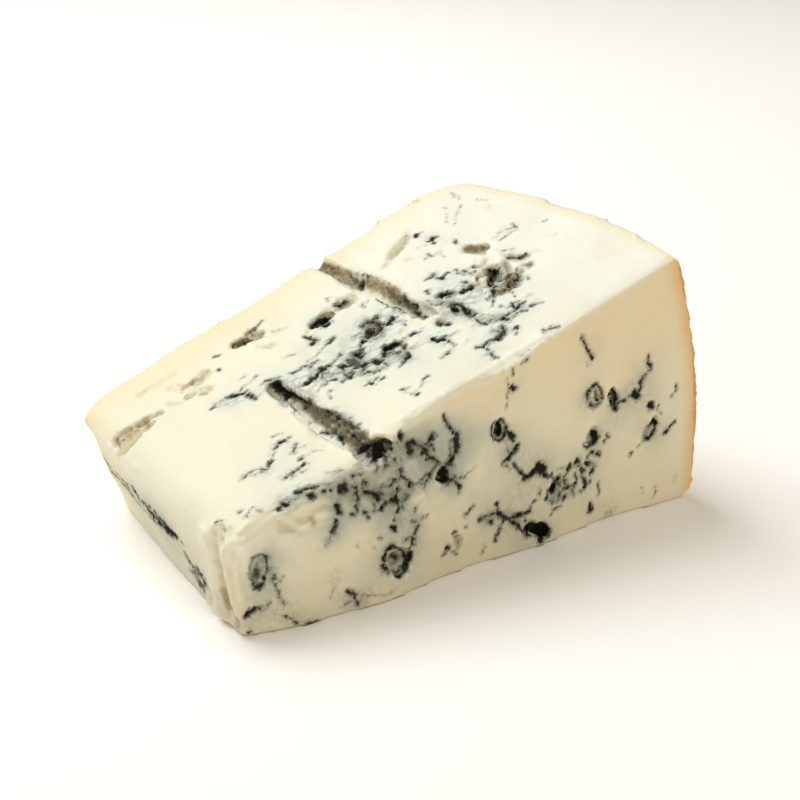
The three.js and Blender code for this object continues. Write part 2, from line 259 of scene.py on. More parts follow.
# %% Round curd
FRONT_MOULD |= {
    "round curd": [
        (0.4, 0.4, "407,450 402,456 400,462"),
        (0.8, 0.6, "400,467 401,472"),
        (0.9, 0.6, "401,476 405,479 411,482"),
        (1.0, 0.8, "410,482 410,487"),
        (0.7, 0.4, "413,484 414,489"),
        (0.6, 0.4, "414,484 419,483 422,478 425,474 428,474"),
        (0.95, 1.0, "391,485 393,482 396,480"),
        (0.8, 0.5, "396,479 400,480 403,476"),
        (0.9, 0.9, "397,487 398,490"),
        (1.0, 2.2, "397,499 400,496"),
        (1.0, 1.3, "392,500 396,501"),
        (1.0, 1.1, "401,494 403,495"),
        (0.8, 0.5, "403,494 407,496 405,499 402,503"),
        (0.6, 0.5, "380,488 384,486"),
        (0.5, 0.5, "378,491 380,491"),
        (0.7, 0.6, "424,488 425,483 427,482"),
    ],
    "chain to the left": [
        (1.0, 1.3, "377,496 378,499"),
        (0.6, 0.5, "379,492 383,495"),
        (0.95, 1.1, "382,508 385,503"),
        (0.6, 0.5, "374,503 376,508 374,512 379,510"),
        (0.95, 0.7, "363,491 368,493 372,493 376,495"),
        (0.6, 0.5, "362,484 363,480 366,484 366,488 362,489"),
        (0.7, 0.8, "366,483 366,485"),
        (0.8, 0.7, "353,476 357,475 361,475"),
        (0.65, 2.2, "340,487 345,485"),
        (1.0, 0.9, "344,488 346,489"),
        (1.0, 0.9, "340,490 341,491"),
        (0.8, 0.5, "350,487 356,488"),
        (0.9, 0.6, "356,487 357,490"),
        (0.85, 0.9, "357,493 358,499"),
        (0.95, 0.8, "337,506 338,510 339,513"),
        (0.7, 0.6, "351,514 355,514"),
        (0.7, 0.7, "357,507 358,511"),
        (0.95, 0.9, "363,512 366,513"),
        (0.7, 0.6, "367,515 369,518"),
        (0.6, 0.5, "315,487 330,484"),
        (0.7, 0.9, "323,491 324,491"),
        (0.7, 0.9, "330,490 331,490"),
        (0.9, 1.1, "309,496 311,496"),
    ],
    "threads under the round curd": [
        (0.95, 0.8, "398,503 399,508 398,512"),
        (0.6, 0.4, "402,503 403,509"),
        (0.4, 0.4, "395,514 394,520"),
        (0.9, 0.9, "392,527 395,529"),
        (0.6, 0.6, "394,520 393,526"),
        (0.8, 0.8, "416,508 415,511"),
        (0.3, 0.4, "408,510 414,511 421,503"),
        (0.9, 0.6, "412,521 415,521"),
        (0.8, 0.5, "419,521 418,526 416,530"),
        (0.8, 0.5, "423,518 427,516"),
        (0.8, 0.7, "416,530 414,535 412,540 414,545"),
        (1.0, 1.3, "412,538 414,539"),
        (0.7, 0.6, "405,540 413,537"),
        (0.7, 0.6, "411,548 408,553"),
        (0.8, 0.6, "473,506 467,513 465,516"),
        (0.3, 0.5, "476,466 466,476 461,482"),
    ],
    "needle hole at the foot": [
        (0.9, 1.0, ring(394, 560, 21, 26, 12)),
        (1.0, 1.1, "410,553 406,562 404,572 398,576 394,575"),
        (0.8, 1.6, "391,554 395,557"),
    ],
}
print("paths on the front cut so far:", paths_in(FRONT_MOULD))

# %% [markdown]
# ## Veins in the middle of the front cut
#
# The longest vein forks like a twig and ends in a black pit at the foot. Beside it one small ring of
# mould follows another up to a slit, because each ring is the border of a small curd.

# %% Long branch and slit
FRONT_MOULD |= {
    "star": [
        (0.9, 1.3, "447,548 449,549"),
        (0.7, 0.5, "448,548 443,556"),
        (0.7, 0.5, "450,550 456,553"),
        (0.5, 0.8, "456,534 459,540 457,545"),
        (0.5, 0.5, "466,527 467,527"),
    ],
    "long branch": [
        (0.9, 0.8, "480,519 488,516 494,513 498,511 497,504"),
        (1.0, 1.0, "498,513 504,517 510,519 517,516 524,514 529,511"),
        (0.7, 0.8, "490,522 492,522"),
        (0.8, 0.7, "504,519 500,529 496,540"),
        (0.9, 0.8, "510,520 516,524 521,530 526,537"),
        (0.7, 0.5, "524,514 525,522"),
        (0.5, 0.5, "484,546 482,553"),
        (0.7, 0.5, "529,511 533,503 538,499 540,490"),
    ],
    "black pit at the foot": [
        (1.0, 2.8, "530,529 537,529 544,531"),
        (1.0, 1.5, "541,535 541,540"),
    ],
    "slit and its rings": [
        (1.0, 1.0, "547,498 549,492 552,486 555,480 558,478"),
        (1.0, 1.3, "551,490 553,485"),
        (0.4, 0.9, "558,484 560,486"),
        (0.9, 0.8, "545,475 546,476"),
        (0.5, 1.1, "548,478 552,474"),
        (0.7, 0.5, "557,471 560,469 563,468"),
        (0.95, 0.7, "564,477 567,473 568,469 570,466"),
        (1.0, 0.9, "568,468 570,466"),
        (0.9, 1.1, "575,464 577,461"),
        (0.7, 1.1, "579,463 582,466"),
        (0.8, 0.5, "576,465 579,466"),
        (0.9, 0.6, "575,475 577,479 577,481"),
        (0.85, 0.7, "582,477 584,481 586,484 584,487"),
        (0.6, 1.3, "581,469 583,471"),
        (0.85, 0.5, "586,462 588,457 591,453 593,452"),
        (1.0, 0.7, "591,453 593,452"),
        (0.85, 1.3, "597,454 599,456"),
        (0.8, 1.1, "587,463 591,464"),
        (0.7, 0.9, "594,465 595,466"),
        (0.85, 0.7, "593,468 592,472 590,473"),
        (1.0, 0.9, "562,482 565,484 567,485"),
        (0.8, 1.1, "563,480 566,481"),
        (0.9, 0.6, "570,486 574,487 575,484"),
        (0.9, 0.7, "564,488 569,487"),
        (1.0, 0.7, "563,489 560,492 559,496"),
        (0.9, 0.8, "558,500 558,501"),
        (0.95, 1.2, "564,497 563,500"),
        (0.8, 0.8, "574,492 574,495"),
        (0.6, 0.5, "570,487 573,491"),
        (0.7, 0.8, "579,491 581,491"),
        (0.5, 0.5, "584,486 581,490"),
        (0.7, 0.7, "588,484 590,481"),
        (0.7, 0.7, "552,502 552,503"),
        (0.7, 0.5, "551,514 553,512 557,508 562,505"),
    ],
    "link to the slit": [
        (0.9, 0.9, "514,464 518,470 523,475 527,477"),
        (1.0, 1.1, "524,478 530,476 534,470 538,466 543,465"),
        (1.0, 2.2, "539,467 542,470"),
        (0.9, 1.0, "543,471 546,476 551,476 556,480"),
        (0.9, 1.0, "517,446 514,452 509,458 503,463"),
        (0.6, 0.5, "503,463 510,469"),
        (0.7, 0.6, "508,450 511,454"),
        (0.8, 1.1, "509,433 513,438"),
    ],
}
print("paths on the front cut so far:", paths_in(FRONT_MOULD))

# %% [markdown]
# ## Veins towards the rind
#
# The cheese is firmer towards its rind and has fewer cracks. What shows there are needle holes with a
# dark rim, which rings make, a forked vein, and a few thin threads.

# %% Needle holes by the rind
FRONT_MOULD |= {
    "black needle hole": [
        (1.0, 2.4, "498,425 498,434"),
        (0.7, 0.8, ring(499, 430, 13, 21, 10)),
    ],
    "thin thread above it": [
        (0.6, 0.4, "507,380 509,388 508,394 507,402 506,410"),
        (0.9, 1.5, "512,387 514,389"),
        (0.7, 0.6, "513,370 513,374"),
        (0.6, 0.4, "522,364 529,358"),
        (0.3, 0.4, "529,350 520,356"),
        (0.9, 0.9, "582,338 588,350 592,358"),
        (0.3, 0.5, "587,362 588,366"),
    ],
    "two needle holes": [
        (1.0, 0.8, ring(595, 396, 14, 21, 4)),
        (1.0, 1.2, "596,392 597,398 597,401"),
        (0.9, 1.0, "612,390 615,396 614,403 616,409"),
        (0.8, 0.8, "610,394 611,404"),
    ],
    "spot under them": [
        (1.0, 1.9, "593,433 595,437"),
        (1.0, 1.5, "594,440 592,445"),
        (0.8, 0.6, ring(587, 445, 5, 5)),
        (0.8, 0.7, "607,435 608,438 605,441"),
        (0.6, 0.7, "598,484 598,491"),
        (0.9, 0.7, "598,491 598,493"),
        (1.0, 0.7, "590,504 591,508"),
        (0.9, 1.3, "590,507 591,510"),
        (0.7, 0.9, "588,512 592,510"),
        (0.8, 0.9, "631,453 630,456"),
    ],
    "forked vein": [
        (0.9, 0.7, "648,357 648,363 651,366"),
        (0.7, 0.8, "651,369 645,376 641,381 641,388 637,395"),
        (1.0, 1.8, "635,394 637,396"),
        (0.7, 0.5, "618,403 625,400 631,396 636,395"),
        (0.6, 0.5, "676,386 676,391 672,396"),
        (0.9, 1.4, "650,406 652,406"),
        (0.4, 0.5, "659,405 657,410 661,413"),
    ],
    "hole near the rind": [
        (1.0, 2.0, "652,420 655,423"),
        (0.9, 0.8, "650,424 645,432 643,438"),
        (0.9, 0.8, "655,427 650,436 645,439"),
        (0.6, 0.5, "643,440 638,446"),
        (0.8, 0.7, "674,422 669,428 665,432"),
        (0.3, 0.5, "642,488 643,492"),
        (0.3, 0.6, "655,486 656,492 653,498"),
        (0.3, 0.5, "676,474 674,482"),
    ],
}
print("paths on the front cut so far:", paths_in(FRONT_MOULD))

# %% [markdown]
# ## Veins at the near corner and along the foot
#
# The knife pressed the cheese together at the near corner. A needle hole is left, and round it and along
# the foot there are only faint greenish threads, which get a low strength.

# %% Corner and foot
FRONT_MOULD |= {
    "needle hole at the corner": [
        (0.9, 0.5, "254,558 252,562 250,567 249,573 251,579 253,584"),
        (1.0, 0.8, "253,584 256,587 259,587 262,583 264,578"),
        (0.9, 0.5, "264,578 266,574 267,568 266,562"),
        (1.0, 0.7, "266,562 265,557 261,555 256,557"),
        (0.5, 1.0, "256,568 258,574"),
        (0.5, 0.9, "268,568 269,573"),
        (0.5, 1.1, "274,576 273,581"),
        (0.4, 0.6, "283,577 280,581"),
        (0.5, 0.6, "276,585 278,592 280,598 283,604"),
        (0.6, 0.6, "279,598 283,602 284,606"),
        (1.0, 0.7, "246,616 249,613 252,611 256,609"),
        (0.7, 0.9, "247,614 249,609"),
        (0.8, 0.5, "260,609 263,607 266,606 269,603"),
        (0.6, 0.6, "286,616 290,618 293,621 297,623"),
        (0.9, 1.0, "309,625 316,623 326,621"),
        (0.8, 0.6, "249,633 250,632"),
    ],
    "green thread at the foot": [
        (0.7, 0.8, "347,591 351,594 357,595"),
        (0.7, 0.7, "355,597 358,604"),
        (0.3, 0.5, "341,608 348,602 357,600"),
        (0.3, 0.5, "362,595 385,596 395,590"),
        (0.3, 0.5, "338,577 338,583"),
        (0.3, 0.5, "336,585 330,598"),
    ],
    "under the broken edge": [
        (0.9, 0.8, "336,521 335,527 333,532"),
        (0.6, 0.5, "333,532 326,545"),
        (0.3, 0.5, "358,542 358,547"),
        (0.3, 0.5, "369,543 376,548"),
        (0.4, 0.8, "380,539 381,539"),
    ],
}
print("paths on the front cut:", paths_in(FRONT_MOULD))

# %% [markdown]
# ## Dark streaks on the top
#
# Three dark streaks cross the middle of the top cut, where the wire went through the ripest veins. They
# are broad in some places and break off in others, so each one is a row of short paths.

# %% Three dark streaks
TOP_MOULD = {
    "hollows behind the first streak": [
        (1.0, 1.6, "314,327 319,322 326,321"),
        (1.0, 1.0, "323,325 328,323"),
        (0.9, 1.3, "335,304 341,303 346,303"),
        (0.9, 0.9, "340,306 342,307"),
        (0.4, 0.8, "327,299 328,301"),
        (0.6, 0.5, "362,305 364,302 368,301 367,304 363,307"),
    ],
    "first dark streak": [
        (1.0, 1.1, "374,319 377,317"),
        (0.8, 0.8, "368,323 369,322"),
        (0.7, 1.4, "372,323 376,324"),
        (1.0, 0.8, "378,325 379,326"),
        (0.95, 1.1, "381,328 376,332"),
        (0.5, 2.0, "375,332 371,335 367,338"),
        (1.0, 0.7, "368,339 370,341"),
        (0.9, 1.0, "363,342 366,342 364,345"),
        (0.8, 0.8, "362,346 360,349"),
        (0.95, 1.7, "355,353 361,353"),
        (0.95, 1.1, "357,356 361,357"),
        (0.6, 0.5, "350,353 355,351"),
        (0.7, 0.4, "361,327 367,323"),
        (0.7, 0.6, "357,335 364,332 370,329"),
        (0.9, 0.6, "382,323 386,323"),
        (1.0, 1.1, "388,323 391,320 393,317"),
        (0.9, 0.6, "393,317 396,317"),
        (0.9, 0.7, "393,321 395,321"),
        (0.7, 0.3, "396,321 405,321 405,323 406,325"),
        (0.3, 0.5, "402,330 401,333"),
    ],
    "second dark streak": [
        (1.0, 1.3, "405,341 403,346"),
        (1.0, 1.2, "391,348 394,345 400,344"),
        (1.0, 1.1, "386,349 390,348"),
        (0.8, 0.6, "382,350 384,352"),
        (1.0, 1.2, "385,352 384,356"),
        (1.0, 1.5, "383,360 378,362 375,361"),
        (0.85, 1.1, "374,362 368,363 362,366"),
        (0.5, 2.2, "350,360 354,363 358,366"),
        (0.9, 0.9, "340,366 346,366 352,366"),
        (1.0, 0.9, "355,368 358,368"),
        (1.0, 0.9, "343,367 344,370"),
        (0.8, 0.6, "343,372 346,376 351,377 354,374 353,371"),
        (1.0, 0.8, "348,377 351,376"),
        (0.6, 1.0, "350,373 353,374"),
        (0.8, 0.6, "361,374 364,368 366,366"),
        (0.7, 0.5, "360,375 368,372 376,371 384,368 387,366 384,362"),
        (0.8, 0.7, "374,372 379,370"),
        (0.7, 0.5, "386,355 390,352 395,353 400,352"),
        (0.8, 0.5, "388,353 394,351"),
        (0.9, 0.8, "408,352 409,356 406,358"),
        (0.7, 0.8, "406,359 403,363"),
        (0.5, 0.4, "398,357 406,357"),
        (0.4, 0.4, "410,348 416,344 430,336"),
        (0.4, 0.4, "410,350 430,340"),
        (0.5, 0.6, "407,337 411,336"),
        (0.95, 0.8, "411,335 415,333"),
        (0.8, 0.4, "415,334 421,331"),
    ],
    "third dark streak": [
        (0.9, 0.8, "340,355 332,364 322,369 315,378 303,385"),
        (1.0, 1.5, "321,369 323,369"),
        (1.0, 1.3, "312,378 314,378"),
        (0.9, 1.2, "304,384 306,384"),
        (0.9, 0.8, "334,338 330,342 326,345"),
        (0.6, 0.5, "326,345 316,356 308,362"),
        (0.8, 0.7, "304,336 310,339 317,340 312,344"),
        (0.5, 0.7, "318,360 311,366 309,370"),
        (0.6, 0.6, "293,373 299,370 303,367 309,365 318,360"),
        (0.8, 0.6, "322,372 323,378 328,381 335,380"),
        (0.7, 0.5, "322,386 326,384"),
        (0.5, 0.6, "332,390 329,394 331,398"),
        (1.0, 0.8, "369,382 372,383"),
        (0.8, 0.5, "372,383 378,377"),
        (0.7, 0.8, "380,380 383,378"),
        (0.3, 0.6, "369,387 376,384"),
    ],
}
print("paths in the dark streaks:", paths_in(TOP_MOULD))

# %% [markdown]
# ## Marks along the far track
#
# The wire opened the far needle track along its whole length. Mould grows on its two edges and in small
# spots on both sides of it, and the smaller these spots are, the fainter they look.

# %% Far track
TOP_MOULD |= {
    "specks before the far track": [
        (0.7, 0.5, "427,376 423,382 420,387"),
        (0.9, 0.8, "402,390 404,390"),
        (0.4, 0.4, "404,392 408,393"),
        (0.6, 0.5, "411,394 414,394"),
        (0.9, 0.8, "417,395 418,394"),
        (1.0, 1.2, "433,339 438,341 443,339"),
        (0.8, 0.5, "433,341 445,337"),
        (0.7, 0.8, "438,325 440,325"),
        (0.7, 0.8, "447,324 449,324"),
        (0.7, 0.6, "449,341 455,345 452,350 442,357"),
        (0.7, 0.5, "450,336 458,331"),
        (0.3, 0.5, "468,340 465,345"),
    ],
    "far track's edges": [
        (0.5, 0.3, "348,270 356,274 362,277"),
        (0.8, 0.7, "364,275 368,277"),
        (0.9, 0.9, "362,287 364,282"),
        (0.9, 0.6, "386,287 387,290"),
        (0.5, 0.6, "404,296 407,299"),
        (0.9, 0.6, "378,300 384,303 390,305 398,308 406,311 412,315"),
        (0.8, 0.5, "408,301 414,305 418,309"),
        (0.9, 0.6, "413,312 418,313 424,312"),
        (0.8, 0.7, "422,314 430,317 437,318"),
        (0.9, 0.5, "413,317 420,315"),
        (0.5, 0.3, "398,303 404,299"),
        (0.5, 0.3, "409,307 416,310"),
    ],
    "marks beyond the far track": [
        (0.8, 0.7, "428,279 431,277 434,274"),
        (0.9, 0.8, "438,278 443,278 447,273"),
        (0.9, 1.1, "427,291 428,293"),
        (0.4, 0.6, "428,300 433,305 440,305 445,301"),
        (0.8, 0.5, "456,270 458,273 464,271 468,272 472,274 475,272"),
        (0.7, 0.8, "462,282 466,282"),
        (1.0, 1.2, "467,289 472,287"),
        (1.0, 0.8, "461,293 466,291 472,289"),
        (0.9, 1.0, "441,295 446,293 452,292"),
        (0.8, 0.7, "446,298 451,296"),
        (0.9, 1.4, "430,241 433,238 436,237"),
        (0.8, 0.6, "432,239 433,243"),
        (0.9, 1.1, "416,236 418,234"),
        (0.7, 1.2, "429,254 432,256"),
        (0.4, 0.5, "436,254 437,253"),
        (0.4, 0.5, "441,251 440,254 446,257"),
        (0.4, 0.6, "407,260 410,259"),
        (0.3, 0.5, "418,248 427,245"),
        (0.5, 0.8, "452,193 454,197"),
        (0.4, 0.5, "458,196 460,199"),
        (0.4, 0.5, "461,205 458,211 456,217 456,221 454,225"),
        (0.3, 0.8, "445,208 446,208"),
        (0.3, 0.6, "447,214 447,222"),
        (0.5, 0.9, "456,240 456,244"),
        (0.5, 0.6, "546,220 544,221"),
        (0.4, 0.6, "478,200 486,200"),
    ],
}
print("paths on the top so far:", paths_in(TOP_MOULD))

# %% [markdown]
# ## Marks round the great pit
#
# A gap between curds tore open near the far end. The thickest mould of the top sits on its walls, and the
# wire drew thin streaks out of it towards the front cut.

# %% Great pit
TOP_MOULD |= {
    "great pit": [
        (1.0, 2.0, "494,273 492,277"),
        (1.0, 1.1, "490,280 490,285"),
        (1.0, 0.8, "489,272 490,280"),
        (0.9, 0.6, "499,269 497,274"),
        (0.7, 0.7, "517,268 516,276 518,280"),
        (1.0, 0.7, "520,277 523,273 525,270"),
        (0.6, 0.6, "526,272 528,279"),
        (0.9, 0.7, "508,259 514,260 519,258"),
        (0.9, 0.6, "523,256 526,254"),
        (0.4, 0.5, "500,252 505,250"),
        (0.5, 0.4, "508,254 512,249"),
        (0.9, 0.7, "494,287 497,286"),
        (0.8, 0.6, "503,290 507,290"),
        (0.8, 0.9, "493,290 494,296"),
        (1.0, 0.8, "487,300 490,297"),
        (0.6, 0.6, "493,300 493,306"),
        (0.5, 0.6, "500,306 501,306"),
        (0.5, 0.6, "500,296 505,292 512,290"),
        (0.4, 0.6, "513,292 515,296"),
        (1.0, 0.8, "470,288 472,285"),
        (0.9, 0.7, "460,293 466,290 470,290"),
        (0.4, 0.9, "464,281 466,281"),
        (0.7, 0.7, "477,279 478,276"),
        (0.6, 0.4, "462,271 468,273 472,274 476,271"),
        (0.8, 0.8, "474,267 477,267"),
        (0.8, 1.0, "513,284 516,280"),
        (0.7, 0.8, "508,286 512,288"),
        (0.6, 0.4, "500,277 506,273 511,275 509,280 503,281"),
        (0.6, 0.4, "498,283 505,284 510,283"),
        (0.5, 0.5, "500,240 508,234 516,229"),
        (0.6, 0.5, "512,224 516,227 508,229"),
    ],
    "streaks before the great pit": [
        (1.0, 1.1, "468,313 472,316 476,314"),
        (0.7, 1.0, "460,306 464,310 467,314"),
        (0.9, 1.2, "452,309 458,311"),
        (0.8, 0.6, "449,306 456,305 462,307"),
        (0.7, 0.6, "475,318 480,323 487,324"),
        (0.75, 0.6, "486,323 491,320 500,320 505,318"),
        (0.9, 0.6, "503,318 510,313 515,310"),
        (1.0, 1.0, "515,308 517,308"),
        (0.8, 0.7, "517,308 520,304 524,302"),
        (0.4, 0.5, "524,298 531,294"),
        (0.9, 0.6, "512,303 514,307"),
        (0.9, 0.5, "508,319 512,318 516,314 521,312 526,310"),
        (0.8, 0.7, "531,306 535,304"),
        (0.4, 0.5, "535,304 540,300"),
        (0.4, 0.4, "480,315 490,315 496,317"),
        (0.8, 0.6, "477,347 483,347 487,343 493,340 498,337"),
        (1.0, 1.1, "503,327 504,331 502,335"),
        (0.7, 0.6, "491,331 500,331"),
        (0.7, 0.5, "484,348 488,350"),
        (0.7, 0.5, "491,352 493,356 498,358"),
        (0.9, 0.7, "517,327 518,330"),
        (0.4, 0.5, "518,330 516,334"),
        (0.8, 0.5, "544,330 549,329 553,328"),
        (0.6, 0.4, "553,328 558,327"),
    ],
}
print("paths on the top so far:", paths_in(TOP_MOULD))

# %% [markdown]
# ## Marks towards the tip
#
# Nearer the tip there is less mould: a black line, the dark wall of the near track, and streaks that the
# wire pulled out to the lip. The long streaks are thin, so that they look dragged.

# %% Near track and tip
TOP_MOULD |= {
    "hollow towards the tip": [
        (0.3, 0.9, "248,329 252,335"),
        (0.8, 0.6, "254,329 262,321"),
        (0.3, 0.9, "234,345 240,343 246,341"),
        (0.6, 0.7, "245,343 262,337"),
        (0.7, 0.8, "218,370 219,370"),
        (0.4, 0.7, "214,357 219,355"),
        (0.3, 0.5, "283,358 295,354"),
        (0.3, 0.6, "240,379 245,376"),
    ],
    "black line towards the tip": [
        (0.8, 0.5, "212,408 217,404 222,400 230,396"),
        (1.0, 0.7, "229,397 236,395"),
        (0.9, 0.5, "236,395 242,394 247,391"),
        (0.9, 0.9, "248,394 252,396"),
        (0.9, 0.9, "252,397 256,398"),
        (0.5, 0.4, "238,394 244,386 252,380 256,376"),
        (0.4, 0.4, "212,408 226,404"),
        (0.7, 0.6, "265,381 279,377"),
    ],
    "near track": [
        (1.0, 2.0, "276,385 281,389 287,395"),
        (0.9, 0.5, "275,390 283,396 289,399"),
        (1.0, 1.0, "290,395 300,399 310,404"),
        (0.7, 0.4, "292,404 298,412"),
        (0.9, 0.8, "304,408 306,408"),
        (0.8, 0.7, "322,409 334,415 346,422 356,428"),
        (0.9, 0.5, "323,433 336,434 344,444"),
        (0.7, 0.5, "297,411 298,411"),
        (0.7, 0.5, "311,424 312,424"),
        (0.8, 0.9, "352,436 360,440"),
    ],
    "streaks before the near track": [
        (0.9, 0.8, "262,469 266,469"),
        (0.95, 0.8, "268,466 270,462"),
        (0.7, 0.4, "243,478 252,471 262,467"),
        (0.6, 0.4, "243,478 255,474 264,472"),
        (0.6, 0.5, "271,460 275,452"),
        (0.8, 0.7, "274,449 277,446"),
        (0.6, 0.5, "277,444 281,440"),
        (0.85, 0.8, "280,442 285,441"),
        (0.7, 0.5, "285,441 290,437"),
        (0.5, 0.5, "273,436 281,433"),
        (0.6, 0.6, "294,452 296,444"),
        (0.7, 0.5, "300,460 304,456"),
        (1.0, 0.8, "285,477 287,477"),
        (0.8, 0.6, "287,476 292,473 300,468 305,464"),
        (0.4, 0.5, "292,477 306,470"),
        (0.85, 0.6, "296,492 305,489 314,487"),
        (1.0, 0.9, "296,492 298,492"),
        (0.9, 1.1, "283,503 287,505"),
        (0.8, 0.6, "278,510 281,507 284,502"),
        (0.6, 0.6, "287,499 290,503"),
        (0.5, 0.8, "239,512 241,512"),
        (0.6, 0.5, "247,516 250,511 253,508"),
        (0.5, 0.5, "256,511 260,511"),
        (0.4, 0.4, "327,472 344,470"),
        (0.3, 0.4, "312,451 322,450"),
        (0.6, 0.5, "217,522 223,523"),
    ],
}
print("paths on the top:", paths_in(TOP_MOULD))

# %% [markdown]
# ## Hairs on the cut across the tip
#
# The knife went down across the tip and took the mould with it, in slanting hairs. They get the strokes
# with the most feathers, which come in a later step.

# %% Tip
TIP_MOULD = {
    "hairs that the knife dragged": [
        (0.5, 0.7, "97,447 103,455 108,464 112,471"),
        (0.8, 0.7, "112,472 120,480 128,490 134,498"),
        (0.7, 0.6, "120,477 126,484 130,490"),
        (1.0, 0.6, "130,492 138,503 147,513 156,522"),
        (1.0, 1.6, "148,510 155,517 163,526 171,534"),
        (0.9, 0.9, "133,488 140,500 150,508"),
        (1.0, 1.2, "160,518 168,528 177,538"),
        (0.5, 0.6, "177,536 183,543"),
        (0.9, 0.6, "185,553 190,562 195,572 199,581"),
        (0.9, 0.9, "197,568 202,577 206,584"),
        (0.9, 0.7, "194,572 200,584 206,594 210,602"),
        (0.5, 1.6, "197,580 203,588"),
    ],
}
print("paths on the tip:", paths_in(TIP_MOULD))

# %% [markdown]
# ## Torn hollows
#
# Where curds didn't close up, the wire tore small hollows open, and air dried their walls to tan or brown.
# They could be cut out of the solid, but they are shallow and crumbly, so each row both sinks the skin and
# gives it a tone. The tone is partly that dried wall and partly painted shade, so the dark of a hollow lies
# where it is deep.

# %% Hollows between the curds
HOLLOWS = [  # depth in mm, tone from 0 for light tan to 1 for dark brown, breadth in mm and path
    (0.9, 0.5, 2.0, "114,441 119,435 126,430 134,425 142,421 150,417 159,413"),
    (0.9, 0.5, 1.6, "116,446 122,440 129,433 137,427 145,421"),
    (0.3, 0.5, 1.0, "113,448 118,443 122,439"),
    (0.4, 0.55, 1.2, "136,427 141,424 147,424"),
    (0.6, 0.05, 0.8, "140,395 150,388 158,384 166,379 175,374"),
    (0.8, 0.1, 1.6, "174,388 184,387"),
    (1.0, 0.4, 1.3, "193,383 200,376 206,372"),
    (0.8, 0.45, 1.0, "186,398 190,396 195,393"),
    (1.0, 0.5, 1.1, "203,392 206,393 207,389"),
    (0.6, 0.15, 1.2, "196,389 204,387 210,388"),
    (0.5, 0.2, 0.7, "168,403 174,404 180,403"),
    (0.6, 0.1, 1.4, "406,203 412,201 418,199"),
    (0.8, 0.15, 1.8, "408,235 413,232"),
    (0.7, 0.15, 0.9, "385,266 392,259 400,250 406,244 410,239"),
    (0.8, 0.65, 1.9, "469,248 476,249 484,248"),
    (0.5, 0.35, 0.9, "485,243 487,247"),
    (0.6, 0.6, 0.7, "476,253 484,253"),
    (0.9, 0.35, 0.8, "486,262 482,265 476,267"),
    (0.6, 0.35, 1.0, "487,267 494,267 500,266"),
    (0.6, 0.35, 0.9, "510,256 516,256 524,255"),
    (0.3, 0.15, 0.6, "528,254 538,250"),
    (0.8, 0.55, 1.0, "506,264 509,270"),
    (0.4, 0.75, 1.4, "526,266 530,265"),
    (0.3, 0.55, 0.8, "489,275 488,284"),
    (0.1, 0.55, 3.2, "502,290 508,285 515,279"),
    (0.2, 0.85, 1.4, "513,286 518,281"),
    (0.4, 0.3, 0.7, "506,228 500,232 494,238"),
    (0.2, 0.15, 0.7, "487,207 490,206"),
    (0.2, 0.1, 0.7, "553,235 558,233"),
    (0.6, 0.35, 1.8, "323,317 328,314 333,311"),
    (0.6, 0.75, 1.8, "315,326 320,322 326,321"),
    (0.6, 0.15, 0.8, "307,331 311,328"),
    (0.7, 0.3, 1.7, "340,299 347,298 352,295"),
    (0.7, 0.8, 1.2, "336,304 342,303 346,302"),
    (0.5, 0.25, 0.8, "326,309 334,309"),
    (0.6, 0.65, 1.6, "247,333 252,330"),
    (0.6, 0.75, 1.5, "234,345 241,343 247,341"),
    (0.7, 0.25, 1.2, "254,336 262,335"),
    (0.6, 0.3, 1.0, "275,331 280,329 286,327"),
    (0.5, 0.3, 0.7, "258,346 270,347 273,343"),
]
print("hollows between the curds:", len(HOLLOWS))

# %% [markdown]
# ## Walls of the tracks, and hollows in the mould
#
# The needle tracks are part of the solid. Their walls dried like those of the hollows and are a little
# rough, so they get broad, shallow strokes, whose dark tone is partly painted shade. The rows after them
# are small hollows under the mould and at the near corner, with the same mix of dried wall and painted
# shade.

# %% Walls of the tracks and hollows in the mould
HOLLOWS += [
    (0.2, 0.8, 3.0, "320,266 326,270 333,273"),
    (0.2, 0.65, 3.4, "336,273 342,277 348,279"),
    (0.2, 0.75, 3.0, "345,279 352,282 361,285"),
    (0.2, 0.55, 3.4, "370,282 378,286 386,291"),
    (0.2, 0.65, 3.6, "386,290 396,296 404,301"),
    (0.2, 0.75, 3.2, "404,300 412,305 420,310"),
    (0.3, 0.95, 1.8, "276,385 283,391 290,396"),
    (0.3, 0.75, 2.4, "290,395 300,402 312,408 324,415"),
    (0.3, 0.75, 2.8, "324,415 338,422 352,430 362,436"),
    (0.2, 0.7, 1.8, "292,400 299,404 309,411 319,419 333,429 346,437 358,445"),
    (0.6, 0.5, 1.2, "465,288 472,285 478,284"),
    (0.6, 0.5, 1.4, "438,296 446,294 453,292"),
    (0.5, 0.45, 1.4, "478,280 486,278"),
    (0.6, 1.0, 1.6, "491,270 493,275 491,283"),
    (0.4, 0.95, 1.0, "374,319 378,323 380,329"),
    (0.5, 0.95, 1.4, "354,354 362,350"),
    (0.5, 0.9, 1.0, "404,342 405,348"),
    (0.6, 0.9, 1.1, "498,337 504,334"),
    (0.6, 0.4, 0.9, "311,518 315,524"),
    (0.8, 1.0, 2.2, "364,448 372,445 380,443 387,444"),
    (0.6, 0.95, 1.4, "372,455 379,451"),
    (0.4, 0.5, 0.8, "380,460 383,466"),
    (0.5, 0.6, 1.2, "391,554 395,556"),
    (0.6, 0.45, 0.8, "455,534 459,540 457,546"),
    (0.3, 1.0, 2.0, "530,530 537,529 544,532"),
    (0.7, 0.45, 1.2, "224,590 228,601 232,612 236,620 239,626"),
    (0.9, 0.1, 1.2, "224,530 222,534 220,539"),
    (0.6, 0.05, 0.9, "215,534 214,545 217,556 220,568 224,580"),
]
print("hollows in all:", len(HOLLOWS))

# %% [markdown]
# ## What wire and knife left
#
# The wire pushed the soft cheese up in ridges along the lip and the tracks. The knife left grooves and
# rolls at the near corner. They are too low to be worth a place in the solid, so they are strokes that
# raise or sink the skin.

